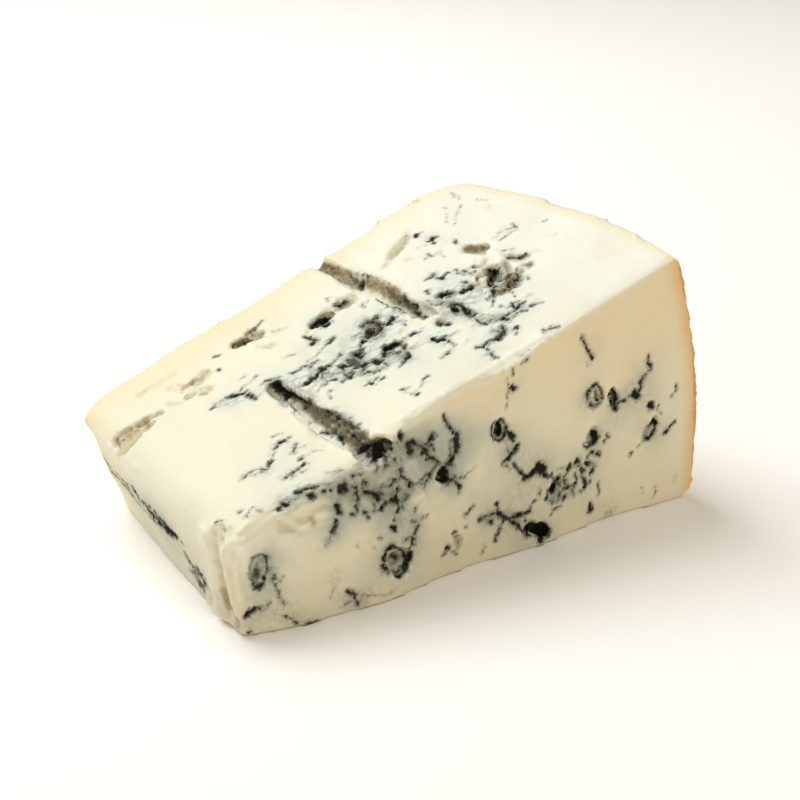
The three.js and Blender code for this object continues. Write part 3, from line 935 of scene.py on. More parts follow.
# %% Ridges and grooves
TOOLING = [  # depth in mm, where a minus stands proud, breadth in mm and path
    (-0.8, 1.3, "211,527 217,524 224,524 229,527"),
    (-0.7, 1.3, "203,529 206,540 209,555 211,570 212,585"),
    (-0.4, 0.9, "217,552 221,566 224,580"),
    (-0.8, 1.4, "222,550 223,558 226,569 229,580 232,591 235,602 239,614 242,625"),
    (-0.6, 1.6, "226,546 233,542 242,543"),
    (0.5, 0.9, "241,551 241,562 242,574 244,586 247,597"),
    (-0.5, 1.0, "244,549 246,562 248,575"),
    (-0.5, 0.7, "213,589 219,591 224,594 226,598"),
    (0.4, 0.6, "216,593 221,597 225,600"),
    (-0.6, 1.6, "206,585 208,592 213,602"),
    (-0.9, 2.8, "212,600 216,608 222,616 230,623 238,627"),
    (0.5, 0.7, "199,530 202,545 206,562 210,580"),
    (-0.35, 1.1, "247,543 262,528 272,519 283,514 297,509 312,500 324,493 335,486"),
    (-0.7, 1.1, "279,515 289,521 300,525 308,524 314,516 322,513 334,513"),
    (0.9, 1.0, "279,520 289,527 301,531 310,529 316,521"),
    (0.5, 0.8, "318,519 326,518 334,518"),
    (-0.5, 1.0, "291,404 297,410 304,416 312,424 322,431"),
    (-0.35, 0.8, "276,381 290,388 305,396 322,406 340,416 358,427"),
    (-0.5, 0.9, "404,421 410,417 416,418 420,414 426,408 434,402 440,399 452,391 463,385 474,379"),
    (-0.4, 0.8, "474,379 486,371 500,362 514,353 528,345 542,336"),
    (-0.35, 0.9, "336,265 350,268 362,273 374,277 386,283 398,290 410,298 420,305"),
    (-0.35, 0.9, "345,291 360,294 372,298 384,304 396,309 408,315"),
    (-0.4, 0.9, "120,447 128,441 138,435 147,428 156,420"),
    (-0.4, 1.0, "184,397 192,388 202,380 210,374"),
    (-0.7, 1.8, "492,252 500,255 503,262 498,266"),
    (-0.5, 1.4, "470,258 480,257 486,262"),
    (-0.9, 2.6, "500,282 507,279 511,276"),
    (-1.4, 3.4, "425,312 431,316 438,320"),
    (-0.9, 2.4, "481,277 485,282"),
    (-0.5, 1.2, "477,288 486,290 492,296"),
    (-0.6, 2.2, "366,346 374,347 382,344"),
    (-0.4, 1.6, "384,330 392,334 398,330"),
    (-0.4, 1.4, "350,374 360,368"),
    (-0.4, 1.4, "324,374 332,371 338,372"),
    (-0.4, 1.6, "404,464 412,460 420,464 421,472 414,478 406,474"),
    (-0.4, 1.0, "392,556 396,562 394,568 388,566"),
    (0.4, 0.6, "430,510 436,505 444,500 452,493"),
    (-0.3, 1.2, "438,512 446,506 456,498"),
    (0.35, 0.7, "395,512 402,520 408,530"),
]
print("ridges and grooves:", len(TOOLING))

# %% [markdown]
# ## Grey down
#
# Ripe mould sheds a grey down. It lies in wide faint patches on the front cut, and in small tufts on top
# and round the holes. A patch is a short path with a great breadth.

# %% Patches of down
DOWN = [  # strength, breadth in mm and path
    (0.4, 7.0, "345,486 358,488 372,494 388,500 400,506"),
    (0.45, 5.0, "380,468 388,472 394,478"),
    (0.35, 5.0, "416,452 426,462 434,472"),
    (0.4, 4.0, "322,490 334,488"),
    (0.35, 5.0, "392,514 404,512 416,520"),
    (0.3, 4.0, "412,530 412,545"),
    (0.3, 4.0, "556,492 568,486 578,478"),
    (1.0, 2.2, "610,508 611,513 607,519"),
    (0.8, 4.2, "366,324 374,330 378,335"),
    (0.6, 3.4, "348,364 358,362 364,366"),
    (0.7, 1.6, "388,354 396,353 404,352"),
    (0.6, 1.6, "404,357 408,358"),
    (0.5, 3.0, "330,372 340,372"),
    (0.5, 3.0, "345,342 352,338"),
    (0.4, 3.0, "334,352 346,350"),
    (0.5, 3.0, "476,318 486,318 495,318"),
    (0.6, 3.0, "428,302 437,302 446,303"),
    (0.5, 3.0, "500,282 506,278 513,283"),
    (0.4, 1.8, "494,292 500,293 508,291"),
    (0.6, 2.6, "352,278 358,280 366,284"),
    (0.7, 2.6, "386,292 396,298 406,302"),
    (0.7, 3.2, "296,402 312,410 330,418"),
    (0.8, 3.4, "330,418 346,426 360,436"),
    (0.5, 3.0, "440,312 450,316 460,318"),
]
print("patches of down:", len(DOWN))

# %% Tufts of down in and round the holes
DOWN += [  # strength, breadth in mm and path
    (0.5, 2.0, "565,488 570,492 571,498"),
    (0.6, 1.6, "562,482 568,484"),
    (0.4, 1.8, "552,505 556,505"),
    (0.6, 1.6, "589,465 593,466"),
    (0.5, 1.4, "579,464 582,470"),
    (0.4, 1.6, "595,452 599,456"),
    (0.5, 1.2, "556,483 559,486"),
    (0.8, 3.0, "257,562 257,580"),
    (0.7, 3.6, "392,558 396,564"),
    (0.5, 3.0, "388,562 386,566"),
    (0.6, 3.2, "440,476 444,480"),
    (0.6, 3.4, "352,596 362,600"),
    (0.6, 2.0, "611,394 614,406"),
    (0.5, 2.4, "586,404 586,396"),
    (0.5, 2.6, "597,430 594,442"),
    (0.5, 2.6, "498,428 499,436"),
    (0.6, 2.6, "150,510 166,526"),
    (0.5, 2.4, "196,572 204,588"),
    (0.4, 2.6, "216,404 232,404"),
    (0.4, 3.0, "282,500 292,502"),
    (0.4, 3.0, "254,618 262,612"),
    (0.3, 6.0, "256,622 270,616 284,612 296,618"),
    (0.35, 2.6, "273,572 276,582 278,592"),
    (0.25, 4.0, "262,596 272,600"),
    (0.3, 4.0, "344,600 358,598 372,592"),
    (0.25, 3.0, "336,574 336,584"),
    (0.3, 3.0, "336,520 334,532 328,542"),
    (0.8, 2.6, "336,484 343,487 350,489"),
    (0.7, 2.2, "385,455 392,455 398,451"),
    (0.8, 1.8, "407,444 412,446 418,447"),
    (0.7, 1.4, "421,450 426,455 429,460"),
    (0.8, 1.1, "457,436 457,444 457,453"),
    (0.8, 2.4, "429,461 433,466 438,468"),
    (0.3, 1.6, "371,482 376,483"),
    (0.5, 2.2, "375,502 378,508"),
    (0.5, 1.6, "402,480 408,486 414,487"),
    (0.7, 3.2, "354,452 361,458 368,463 374,466"),
    (0.4, 3.0, "362,466 368,472"),
    (0.3, 2.6, "451,466 453,476"),
    (0.5, 1.6, "401,500 405,508"),
    (0.4, 1.6, "363,484 366,486"),
    (0.3, 2.0, "455,480 460,488"),
    (0.3, 2.4, "392,518 396,526"),
    (0.4, 1.4, "426,484 426,492"),
    (0.5, 3.0, "484,520 496,516 508,518 520,522"),
    (0.5, 2.4, "524,478 534,472 544,470"),
    (0.4, 2.6, "508,442 512,452 506,460"),
    (0.35, 3.0, "640,380 636,392 622,400"),
    (0.3, 3.0, "646,428 654,434"),
    (0.4, 3.0, "520,526 536,534"),
]
print("patches and tufts of down:", len(DOWN))

# %% [markdown]
# ## Bare curds and painted light
#
# Some curds and the rims of some holes kept free of mould, and look paler than the paste round them. Other
# pale strokes are painted light: along the lip of the front cut, on the floors of the two tracks, on a wall
# of the great pit and along the top of the cut across the tip, where the paste would look shaded. They are
# laid on near the end, as a painter adds the lights last.

# %% Pale places
PALE = [  # breadth in mm and path
    (2.8, "411,463 413,469 414,475"),
    (1.5, "380,480 386,474"),
    (1.4, "344,504 350,509"),
    (1.5, "362,500 369,506"),
    (1.8, "414,499 421,495"),
    (0.9, "380,459 382,464"),
    (0.5, ring(595, 396, 8, 13, 4)),
    (0.7, ring(498, 430, 20, 27, 10, 90, 270)),
    (0.7, ring(257, 571, 11, 22, -4, 180, 420)),
    (0.9, "543,484 545,494"),
    (1.2, "356,276 361,279"),
    (1.0, "292,402 300,406"),
    (0.9, "648,434 652,428"),
    (0.8, "140,503 149,514"),
    (2.4, "490,256 498,256"),
    (2.4, "491,262 499,262"),
    (2.0, "472,260 480,259"),
    (0.6, "289,399 296,406 305,414 312,420"),
    # painted light on the floors of the near and far tracks, where they would look shaded
    (1.4, "272,392 279,399 287,406"),
    (1.6, "426,318 433,321 439,323"),
    # painted light along the lip of the front cut
    (0.9, "402,418 414,410 424,404 436,397 450,388 462,380"),
    (1.6, "384,563 388,568"),
    (2.4, "208,536 211,552 214,568 215,584"),
    # painted light on a wall of the great pit, and along the top of the cut across the tip
    (1.8, "480,276 484,281 487,285"),
    (2.2, "110,446 120,458 131,471"),
]
print("pale places:", len(PALE))

# %% [markdown]
# ## Throw the marks onto the cheese
#
# A ray from the eye through each point of a path lands somewhere on the solid, also inside a pit or on
# the wall of a track. The new skin is a little blunter than the solid, so the rays are thrown at the
# solid. From then on every mark is a thing of the cheese itself, and it stays in place when the wedge is
# seen from another side.

# %% Rays from the eye
MOULD_SPACING = 1.6  # pixels between rays along a path of mould
STROKE_SPACING = 0.8  # and along any other path


def along(path, spacing):
    """The points of a path, filled up so that no step is longer than a spacing in pixels."""
    corners = [tuple(float(part) for part in place.split(",")) for place in path.split()]
    filled = [corners[0]]
    for (x0, y0), (x1, y1) in zip(corners, corners[1:]):
        steps = max(1, math.ceil(math.hypot(x1 - x0, y1 - y0) / spacing))
        filled += [(x0 + (x1 - x0) * i / steps, y0 + (y1 - y0) * i / steps) for i in range(1, steps + 1)]
    return filled


def landings(path, spacing=STROKE_SPACING):
    """Where the rays through a path land on the cheese, in mm, with the surface's direction there."""
    hits = [solid.ray_cast(EYE, sight(x, y)) for x, y in along(path, spacing)]
    return [(hit / MM, normal) for hit, normal, _, _ in hits if hit is not None]


print("rays through a ring:", len(landings(ring(595, 396, 14, 21, 4))))

# %% [markdown]
# ## Feathers
#
# No line of mould is clean. Fine hairs leave it: on top and on the tip they all lie the way the wire or
# the knife went, and on the front cut they go anywhere. There are too many to list, so they are drawn by
# lot, from a fixed seed, and the cheese comes out the same each time.

# %% One feather
draw = random.Random(11)
FEATHER_STEP = 0.35  # mm between the places along a hair
FEATHER_BREADTH = 0.42  # mm at its root
FEATHER_TAPER = 0.2  # mm that it loses on the way to its end


def random_direction():
    """A direction that may point anywhere."""
    return Vector((draw.gauss(0, 1), draw.gauss(0, 1), draw.gauss(0, 1))).normalized()


def feather(start, normal, strength, length, lie, stray):
    """Places along a hair that leaves a mark, each with a breadth and a strength."""
    way = random_direction() if lie is None else (lie + stray * random_direction()) * draw.choice((-1, 1))
    way = (way - way.dot(normal) * normal).normalized()
    reach = length * draw.uniform(0.35, 1.0)
    steps = max(2, round(reach / FEATHER_STEP))
    shade = strength * draw.uniform(0.45, 0.9)
    return [
        (start + way * reach * i / steps, FEATHER_BREADTH - FEATHER_TAPER * i / steps, shade)
        for i in range(1, steps + 1)
    ]


print("a feather has at least 2 places, each", FEATHER_STEP, "mm from the last")

# %% Grow the mould
FEATHERS = {  # chance at each place, length in mm, the way they lie and how far they stray
    "front": (0.05, 1.0, None, 0.0),
    "top": (0.3, 2.2, Vector((0.94, -0.05, 0.32)), 0.45),
    "tip": (0.5, 3.2, Vector((0.1, -1.0, 0.0)), 0.25),
}
FEATHERED_FROM = 0.5  # the strength that a mark needs to grow feathers
THINNEST, THICKEST = 0.55, 1.4  # a mark's breadth wavers between these shares of it
WAVER = 0.35  # and changes by up to this share from one place to the next


def grown(groups, kind):
    """Every place of the marks and their feathers: position, breadth and strength."""
    chance, length, lie, stray = FEATHERS[kind]
    places = []
    for group in groups.values():
        for strength, breadth, path in group:
            swelling = 1.0
            for place, normal in landings(path, MOULD_SPACING):
                swelling = min(THICKEST, max(THINNEST, swelling + draw.uniform(-WAVER, WAVER)))
                places.append((place, breadth * swelling, strength))
                if strength > FEATHERED_FROM and draw.random() < chance:
                    places += feather(place, normal, strength, length, lie, stray)
    return places


mould_places = grown(FRONT_MOULD, "front") + grown(TOP_MOULD, "top") + grown(TIP_MOULD, "tip")
print("places of mould:", len(mould_places))

# %% [markdown]
# ## The softer marks and the carving
#
# Hollows, down and pale places have soft borders, so they need no feathers. The same rays place them. A
# stroke that carves is kept together with its depth, because each one sinks or raises the skin by itself.

# %% Place the softer marks
def placed(path, breadth, much=1.0):
    """Every place of a path, with its breadth and how much of the mark it gets."""
    return [(place, breadth, much) for place, _ in landings(path)]


hollow_places = [spot for _, tone, wide, path in HOLLOWS for spot in placed(path, wide, tone)]
carved = [(depth, placed(path, wide)) for depth, _, wide, path in HOLLOWS]
carved += [(depth, placed(path, wide)) for depth, wide, path in TOOLING]
down_places = [spot for much, wide, path in DOWN for spot in placed(path, wide, much)]
pale_places = [spot for wide, path in PALE for spot in placed(path, wide)]
print("places of hollows:", len(hollow_places), "of down:", len(down_places), "pale:", len(pale_places))

# %% [markdown]
# ## How far the rind is
#
# The colours and the hidden threads both ask how far a place lies from the rind. The nearest face of the
# solid doesn't say, because the solid isn't marked with rind and paste. So the rind is written as a
# formula: a flat back, an end that bends inwards in two ways, and a rounded shoulder between them.

# %% Measure the wedge
TIP_X = -65.8  # mm, where the front cut meets the tip at the foot
FRONT_Y = -38.1  # mm, the foot of the front cut
LENGTH = 137.4  # mm from the tip to the rind at the foot
WIDTH = 80.4  # mm from the front cut to the flat rind
LEAN_RADIUS = 162.0  # the curved rind leans inwards on this radius from this height
LEAN_START = 13.0
SIDE_RADIUS = 160.0  # and curves back on this one
SIDE_START = 14.0
SHOULDER = 11.0  # mm, the radius between the flat rind and the curved one


def rind_gap(places):
    """Distance in mm from the outer face of the rind, for an array of places in mm."""
    x, y, z = places[:, 0] - TIP_X, places[:, 1] - FRONT_Y, places[:, 2]
    lean = np.maximum(0, z - LEAN_START) ** 2 / (2 * LEAN_RADIUS)
    side = np.maximum(0, y - SIDE_START) ** 2 / (2 * SIDE_RADIUS)
    end = LENGTH - lean - side - x
    back = WIDTH - y
    corner = np.hypot(np.maximum(0, SHOULDER - end), np.maximum(0, SHOULDER - back))
    return np.where((end < SHOULDER) & (back < SHOULDER), SHOULDER - corner, np.minimum(end, back))


print("from the middle of the foot to the rind, in mm:", rind_gap(np.zeros((1, 3))).round(1))

# %% [markdown]
# ## Threads on the underside
#
# The wedge lies on its other cut, and the same mould crosses that one. It isn't seen while the cheese
# stands on a table, so a list of marks would be wasted there. Short crooked threads by lot do, all of them
# well inside the edges, so that none comes out at the foot.

# %% A skin to search
UNDERSIDE = -0.9  # the normals of the underside point down by more than this
skin = bmesh.new()
skin.from_mesh(cheese.data)
skin.faces.ensure_lookup_table()
target = BVHTree.FromBMesh(skin)
print("faces of the underside:", sum(face.normal.z < UNDERSIDE for face in skin.faces))

# %% Threads by lot
HIDDEN_THREADS = 40
THREAD_STEP = 0.5  # mm between the places along a thread
RIND_MARGIN = 15  # mm between the start of a thread and the rind
TIP_MARGIN = 16
FRONT_MARGIN = 14


def crooked_thread(start, normal):
    """A thread of mould that wanders over the underside from a place on it."""
    places, here = [], start
    way = (random_direction() - normal * normal.dot(random_direction())).normalized()
    breadth, shade = draw.uniform(0.5, 1.5), draw.uniform(0.5, 1.0)
    for _ in range(draw.randint(6, 26)):
        way = (way + 0.5 * random_direction()).normalized()
        here = here + way * THREAD_STEP
        near, facing, _, _ = target.find_nearest(here * MM)
        here = near / MM
        if facing.z > UNDERSIDE:
            break
        places.append((here, breadth * draw.uniform(0.5, 1.2), shade))
    return places


def hidden_starts():
    """Places on the underside, drawn by lot away from its edges."""
    starts = []
    while len(starts) < HIDDEN_THREADS:
        face = draw.choice(skin.faces)
        centre = face.calc_center_median() / MM
        gap = rind_gap(np.array([centre]))[0]
        inner = centre[0] > TIP_X + TIP_MARGIN and centre[1] > FRONT_Y + FRONT_MARGIN
        if gap > RIND_MARGIN and inner and face.normal.z < UNDERSIDE:
            starts.append((centre, face.normal.copy()))
    return starts


for start, normal in hidden_starts():
    mould_places += crooked_thread(start, normal)
print("places of mould, underside included:", len(mould_places))

# %% [markdown]
# ## How close a point of the skin is to a mark
#
# Every mark is now a row of round places. What a point of the skin needs to know is how deep it lies
# within the nearest one. Comparing each point with each place would take minutes, so a k-d tree sorts the
# points first, and each place only asks for those around it.

# %% Closeness to the marks
FRINGE_REACH = 2.0  # mm outside a mark up to which its distance is measured


def searchable(spots):
    """The spots of a skin sorted for quick search."""
    tree = kdtree.KDTree(len(spots))
    for index, spot in enumerate(spots):
        tree.insert(spot, index)
    tree.balance()
    return tree


def closeness(tree, spots, places):
    """For each spot: how deep in mm it lies within the nearest mark, and that mark's strength."""
    depth = np.full(len(spots), -FRINGE_REACH)
    strength = np.zeros(len(spots))
    for place, breadth, much in places:
        for _, index, distance in tree.find_range(place, breadth / 2 + FRINGE_REACH):
            inside = breadth / 2 - distance
            if inside > depth[index]:
                depth[index] = inside
                strength[index] = much
    return depth, strength


print("marks are felt up to", FRINGE_REACH, "mm outside their edge")

# %% [markdown]
# ## Finer squares where the mould is
#
# A vein is less than a millimetre broad, so the skin needs more points there than on the plain cream. The
# whole skin that fine would be far too heavy. So only the faces near a mark are split: once where
# anything is worked, and a second time where mould is.

# %% Split the skin near the marks
WORKED_MARGIN = 0.6  # mm round each mark and stroke
MOULD_MARGIN = 0.1  # mm round the mould alone


def split_edges(edges):
    """Cuts edges of the skin in two, and their faces with them."""
    return bmesh.ops.subdivide_edges(skin, edges=edges, cuts=1, use_grid_fill=True, use_single_edge=True)


def split_near(places, margin):
    """Splits the faces of the skin within a margin in mm of some places, but not on the underside."""
    here = [vert.co / MM for vert in skin.verts]
    depth, _ = closeness(searchable(here), here, places)
    skin.verts.ensure_lookup_table()
    near = {face for vert in skin.verts if depth[vert.index] > -margin for face in vert.link_faces}
    split_edges(list({edge for face in near if face.normal.z > UNDERSIDE for edge in face.edges}))
    skin.verts.index_update()


split_near(mould_places + [place for _, places in carved for place in places], WORKED_MARGIN)
split_near(mould_places, MOULD_MARGIN)
print("faces with the fine squares:", len(skin.faces))

# %% [markdown]
# ## The lip between the two cuts
#
# The top cut meets the front cut in a soft but clear lip, and a voxel remesh leaves that blunt and
# stepped. A finer remesh would make the whole skin heavy, so each point is laid on the solid again, and
# the faces at the lip are split twice.

# %% Lay the skin on the solid
LIP_LOWEST = 25  # mm over the table
LIP_REACH = 9  # mm behind the foot of the front cut
LIP_TURN = 0.35  # radians between two faces that meet at a lip
LIP_LONGEST = 0.9  # mm that an edge may measure and still be left whole


def lay_on_solid():
    """Moves each point of the skin to the nearest place on the solid."""
    for vert in skin.verts:
        vert.co = solid.find_nearest(vert.co)[0]


def split_lip(candidates):
    """Splits the faces where the top cut meets the front cut, and gives back their new edges."""
    edges = set()
    for edge in candidates:
        middle = (edge.verts[0].co + edge.verts[1].co) / (2 * MM)
        on_lip = middle.z > LIP_LOWEST and middle.y < FRONT_Y + LIP_REACH
        if on_lip and edge.calc_face_angle(0) > LIP_TURN:
            edges.update(side for vert in edge.verts for face in vert.link_faces for side in face.edges)
    split = split_edges(list(edges))
    fresh = split["geom_inner"] + split["geom_split"]
    return [part for part in fresh if isinstance(part, bmesh.types.BMEdge)]


lay_on_solid()
long_edges = [edge for edge in skin.edges if edge.calc_length() > LIP_LONGEST * MM]
fresh_edges = split_lip(long_edges)
lay_on_solid()
split_lip(set(fresh_edges))
lay_on_solid()
skin.to_mesh(cheese.data)
skin.free()
print("faces with the fine lip:", len(cheese.data.polygons))

# %% [markdown]
# ## Fields over the skin
#
# Painters mask; here each mask is a list of numbers, one for each point of the skin. Some are spread over
# the neighbours again and again, which is how a drop of ink widens in blotting paper. That gives the cool
# halo round the mould. Textures could be blurred too, but a list follows the skin round every corner.

# %% Spread over the neighbours
SPREAD_SHARE = 0.6  # how far each point goes towards its neighbours' mean at a time


def spots_of(mesh):
    """A mesh's points as an array in mm."""
    flat = np.empty(len(mesh.vertices) * 3, np.float32)
    mesh.vertices.foreach_get("co", flat)
    return flat.reshape(-1, 3).astype(float) / MM


spots = spots_of(cheese.data)
edge_ends = np.empty(len(cheese.data.edges) * 2, np.int32)
cheese.data.edges.foreach_get("vertices", edge_ends)
one_end, other_end = edge_ends.reshape(-1, 2).T
neighbours = np.bincount(one_end, minlength=len(spots)) + np.bincount(other_end, minlength=len(spots))


def spread(field, times):
    """Each point takes over part of its neighbours' mean, a number of times."""
    field = field.reshape(len(spots), -1).copy()
    for _ in range(times):
        for column in range(field.shape[1]):
            sums = np.bincount(one_end, field[other_end, column], len(spots))
            sums += np.bincount(other_end, field[one_end, column], len(spots))
            field[:, column] += SPREAD_SHARE * (sums / neighbours - field[:, column])
    return field.squeeze()


print("points of the skin:", len(spots), "with up to", neighbours.max(), "neighbours")

# %% Noise and soft steps
ROUGHNESSES = {  # size of the lumps in mm, octaves and a seed
    "edges of marks": (1.7, 3, 57.0),
    "crumbs": (1.5, 3, 5.0),
    "lumps": (5.0, 2, 9.0),
    "tufts": (1.1, 2, 21.0),
    "rind bumps": (3.4, 3, 33.0),
    "rind dimples": (1.1, 2, 41.0),
}


def rough(kind):
    """Fractal noise over the skin, from about -1 to 1."""
    size, octaves, seed = ROUGHNESSES[kind]
    return np.array([noise.fractal(Vector(spot), 1.0, 2.0, octaves) for spot in spots / size + seed])


def rise(values, low, high):
    """0 under low, 1 over high and a soft step between, for arrays."""
    share = np.clip((values - low) / (high - low), 0, 1)
    return share * share * (3 - 2 * share)


uneven = rough("edges of marks")
print("the edges of the marks waver by up to", round(float(abs(uneven).max()), 2))

# %% [markdown]
# ## Masks of the marks
#
# A mask starts as the depth within the nearest mark, in mm. Noise is added to it, so that no border is
# smooth, and a soft step turns it into a share from 0 to 1. The steps start outside the marks, because
# mould has no hard edge.

# %% Mould
tree = searchable(spots)
mould, strength = closeness(tree, spots, mould_places)
mould += 0.3 * uneven
inked = rise(mould, -0.3, 0.3) * strength
soft_edge = rise(mould, -1.1, 0.2) * strength
print("share of the skin with mould:", round(float((inked > 0.2).mean()), 3))

# %% Hollows, down and pale places
# the hollows' mask: dried walls, and painted shade in the hollows and grooves
stain_depth, stain_and_shade_tone = closeness(tree, spots, hollow_places)
stain_and_shade = rise(stain_depth + 0.6 * uneven, -0.9, 0.4)
stain_and_shade_tone = spread(stain_and_shade_tone, 4)
down_depth, down_strength = closeness(tree, spots, down_places)
down = spread(rise(down_depth + 0.8 * uneven, -1.4, 0.6) * down_strength, 3)
pale_depth, _ = closeness(tree, spots, pale_places)
pale = rise(pale_depth, -0.5, 0.3)
print("share of the skin with down:", round(float((down > 0.2).mean()), 3))

# %% Depth of the carving
carving = np.zeros(len(spots))
for stroke_depth, places in carved:
    carving += stroke_depth * rise(closeness(tree, spots, places)[0] + 0.5 * uneven, -0.7, 0.5)
print("the deepest carving goes", round(float(carving.max()), 2), "mm into the skin")

# %% [markdown]
# ## The halo round the mould
#
# Ripening mould turns the paste round it cool and grey, widest where marks crowd together. A halo of one
# breadth round each mark would show its outline. Spread ink adds up where marks are close, as the real
# halo does.

# %% Halo and crowd
HALO_SPREADS = 100
HALO_GAIN = 4.2  # spread ink is thin, so it is made stronger by this
DOWN_IN_HALO = 0.35  # how much down counts beside mould
inked_around = spread(np.maximum(inked, DOWN_IN_HALO * down), HALO_SPREADS)
halo = np.clip(HALO_GAIN * inked_around, 0, 1)
crowd = rise(inked_around, 0.2, 0.5)
print("share of the skin with a halo:", round(float((halo > 0.2).mean()), 2))

# %% [markdown]
# ## Which side a point belongs to
#
# The top cut gets the light paste. The front cut gets a warmer, darker copy of it, which is partly painted
# warm shade, and the cut across the tip gets a darker foot, which is painted shade. The direction of the
# skin tells them apart, but the walls of a pit in the top face sideways and still belong to the top. So
# whatever lies well within the top cut counts as top as well.

# %% Top, tip and rind
def directions(mesh):
    """The normals of a mesh's points, as an array."""
    flat = np.empty(len(mesh.vertices) * 3, np.float32)
    mesh.vertex_normals.foreach_get("vector", flat)
    return flat.reshape(-1, 3).astype(float)


facing = directions(cheese.data)
gap = rind_gap(spots)
# Well within the top cut: behind the front lip and the tip, high up, and not on the rind.
within = rise(spots[:, 1] - FRONT_Y, 3, 6) * rise(spots[:, 0] - TIP_X, 8, 14)
within = within * rise(spots[:, 2], 25, 32) * rise(gap, 1, 3)
upward = np.maximum(rise(spread(facing[:, 2], 12), 0.15, 0.5), within)
tip_side = rise(spread(-facing[:, 0], 12), 0.45, 0.75) * (1 - within)
rind_skin = rise(-gap, -1.6, -0.4) * (1 - rise(spread(facing[:, 2], 2), 0.5, 0.85))
print("share of the skin that counts as top:", round(float((upward > 0.5).mean()), 2))

# %% [markdown]
# ## Even the surface
#
# The solid's facets still show. A smoothing modifier would also soften the holes and the lips, so the
# skin is only smoothed where it is flat, and a little along the edge of the rind. The underside stays
# flat, because the cheese rests on it.

# %% Smooth the flat parts
flat_share = rise((facing * spread(facing, 6)).sum(1), 0.93, 0.99)  # facing the way of their neighbours
on_table = rise(-spots[:, 2], -0.7, -0.2)  # the lowest half millimetre
above_table = rise(spots[:, 2], 0.3, 3.0)  # free to be worked

smooth_shape = spread(spots, 10)
rind_edge = (1 - flat_share) * rise(-gap, -4, -2) * (1 - on_table)
spots += (spread(spots, 3) - spots) * rind_edge[:, None]
spots += (smooth_shape - spots) * (flat_share * (1 - on_table))[:, None]

# Just over the table the sides are only evened sideways, so that nothing lifts off or sinks in.
foot = rise(-spots[:, 2], -1.6, -0.8) * (1 - rise(-facing[:, 2], 0.9, 0.99))
spots[:, :2] += ((smooth_shape - spots) * foot[:, None])[:, :2]
print("share of the skin that is flat:", round(float((flat_share > 0.5).mean()), 2))

# %% [markdown]
# ## Relief
#
# Now the skin is worked like clay: veins sink into cracks, the cheese round them turns crumbly, pale places
# and ridges stand proud, hollows sink, and the rind gets its bumps and dimples. A bump map would do for the
# paste, but not for the outline and the shadows, so the points themselves move.

# %% Work the surface
CRACK_DEPTH = 0.5  # mm in the middle of a black vein
LUMPS = 0.14  # mm that the plain paste goes up and down
TUFTS = 0.4  # mm
PALE_HEIGHT = 0.3  # mm that a pale place stands proud
RIND_BUMPS = 0.36  # mm
RIND_DIMPLES = 0.16  # mm
crack = CRACK_DEPTH * rise(mould, -0.15, 0.5) * strength
crumbs = (0.05 + 0.3 * halo + 0.7 * stain_and_shade) * rough("crumbs")
lumps = LUMPS * rough("lumps")
tufts = TUFTS * down * rough("tufts")
rind_bumps = RIND_BUMPS * rough("rind bumps") + RIND_DIMPLES * rough("rind dimples")
relief = crumbs + tufts + PALE_HEIGHT * pale - crack + lumps - spread(carving, 1)
relief = relief * (1 - rind_skin) + rind_bumps * rind_skin
print("the relief is between", round(float(relief.min()), 2), "and", round(float(relief.max()), 2), "mm")

# %% Move the points
spots += facing * (relief * above_table)[:, None]
spots[:, 2] = np.where(on_table > 0.5, 0, np.maximum(spots[:, 2], 0))
cheese.data.vertices.foreach_set("co", (spots * MM).astype(np.float32).ravel())
cheese.data.update()
for polygon in cheese.data.polygons:
    polygon.use_smooth = True
print("highest place of the worked skin, in mm:", round(float(spots[:, 2].max()), 1))

# %% [markdown]
# ## Keep the masks on the skin
#
# The finish has to know the masks. Each one is stored as an attribute, a number for every point, which
# the finish can read by name and which moves with the skin. The gap to the back is measured here too. It
# is made larger towards the wide end, because the warm band along the back gets narrower that way.

# %% Attributes
BACK_LEAN = 0.25  # mm that the warm band loses for each mm towards the wide end
BACK_LEAN_FROM = -15  # mm along X
MASKS = {
    "mould": mould,
    "strength": strength,
    "soft_edge": soft_edge,
    "halo": halo,
    "stain_and_shade": stain_and_shade,
    "stain_and_shade_tone": stain_and_shade_tone,
    "down": down,
    "pale": pale,
    "crowd": crowd,
    "upward": upward,
    "tip_side": tip_side,
    "rind_gap": gap,
    "back_gap": WIDTH + FRONT_Y - spots[:, 1] + BACK_LEAN * np.maximum(0, spots[:, 0] - BACK_LEAN_FROM),
    "rind_skin": rind_skin,
    "underneath": rise(-facing[:, 2], 0.75, 0.95),
}
for name, values in MASKS.items():
    attribute = cheese.data.attributes.new(name, "FLOAT", "POINT")
    attribute.data.foreach_set("value", values.astype(np.float32))
print("masks:", ", ".join(MASKS))

# %% [markdown]
# ## Writing a finish
#
# A finish is a net of nodes. Written out one by one, fifty nodes hide what they are for. Two small
# classes keep it readable. A Wire is an output socket, and sums and products of wires add the Math nodes
# that work them out. A Finish is a material, and its one method adds any other node.

# %% Wires
class Wire:
    """An output socket; arithmetic on it adds Math nodes to its material."""

    def __init__(self, socket):
        self.socket = socket

    def math(self, operation, *values):
        """Adds a Math node that works on wires or numbers."""
        tree = self.socket.id_data
        node = tree.nodes.new("ShaderNodeMath")
        node.operation = operation
        for slot, value in zip(node.inputs, values):
            if isinstance(value, Wire):
                tree.links.new(value.socket, slot)
            else:
                slot.default_value = value
        return Wire(node.outputs[0])

    def __add__(self, other):
        return self.math("ADD", self, other)

    def __sub__(self, other):
        return self.math("SUBTRACT", self, other)

    def __rsub__(self, other):
        return self.math("SUBTRACT", other, self)

    def __mul__(self, other):
        return self.math("MULTIPLY", self, other)

    __radd__ = __add__
    __rmul__ = __mul__


print("a wire adds, subtracts and multiplies")

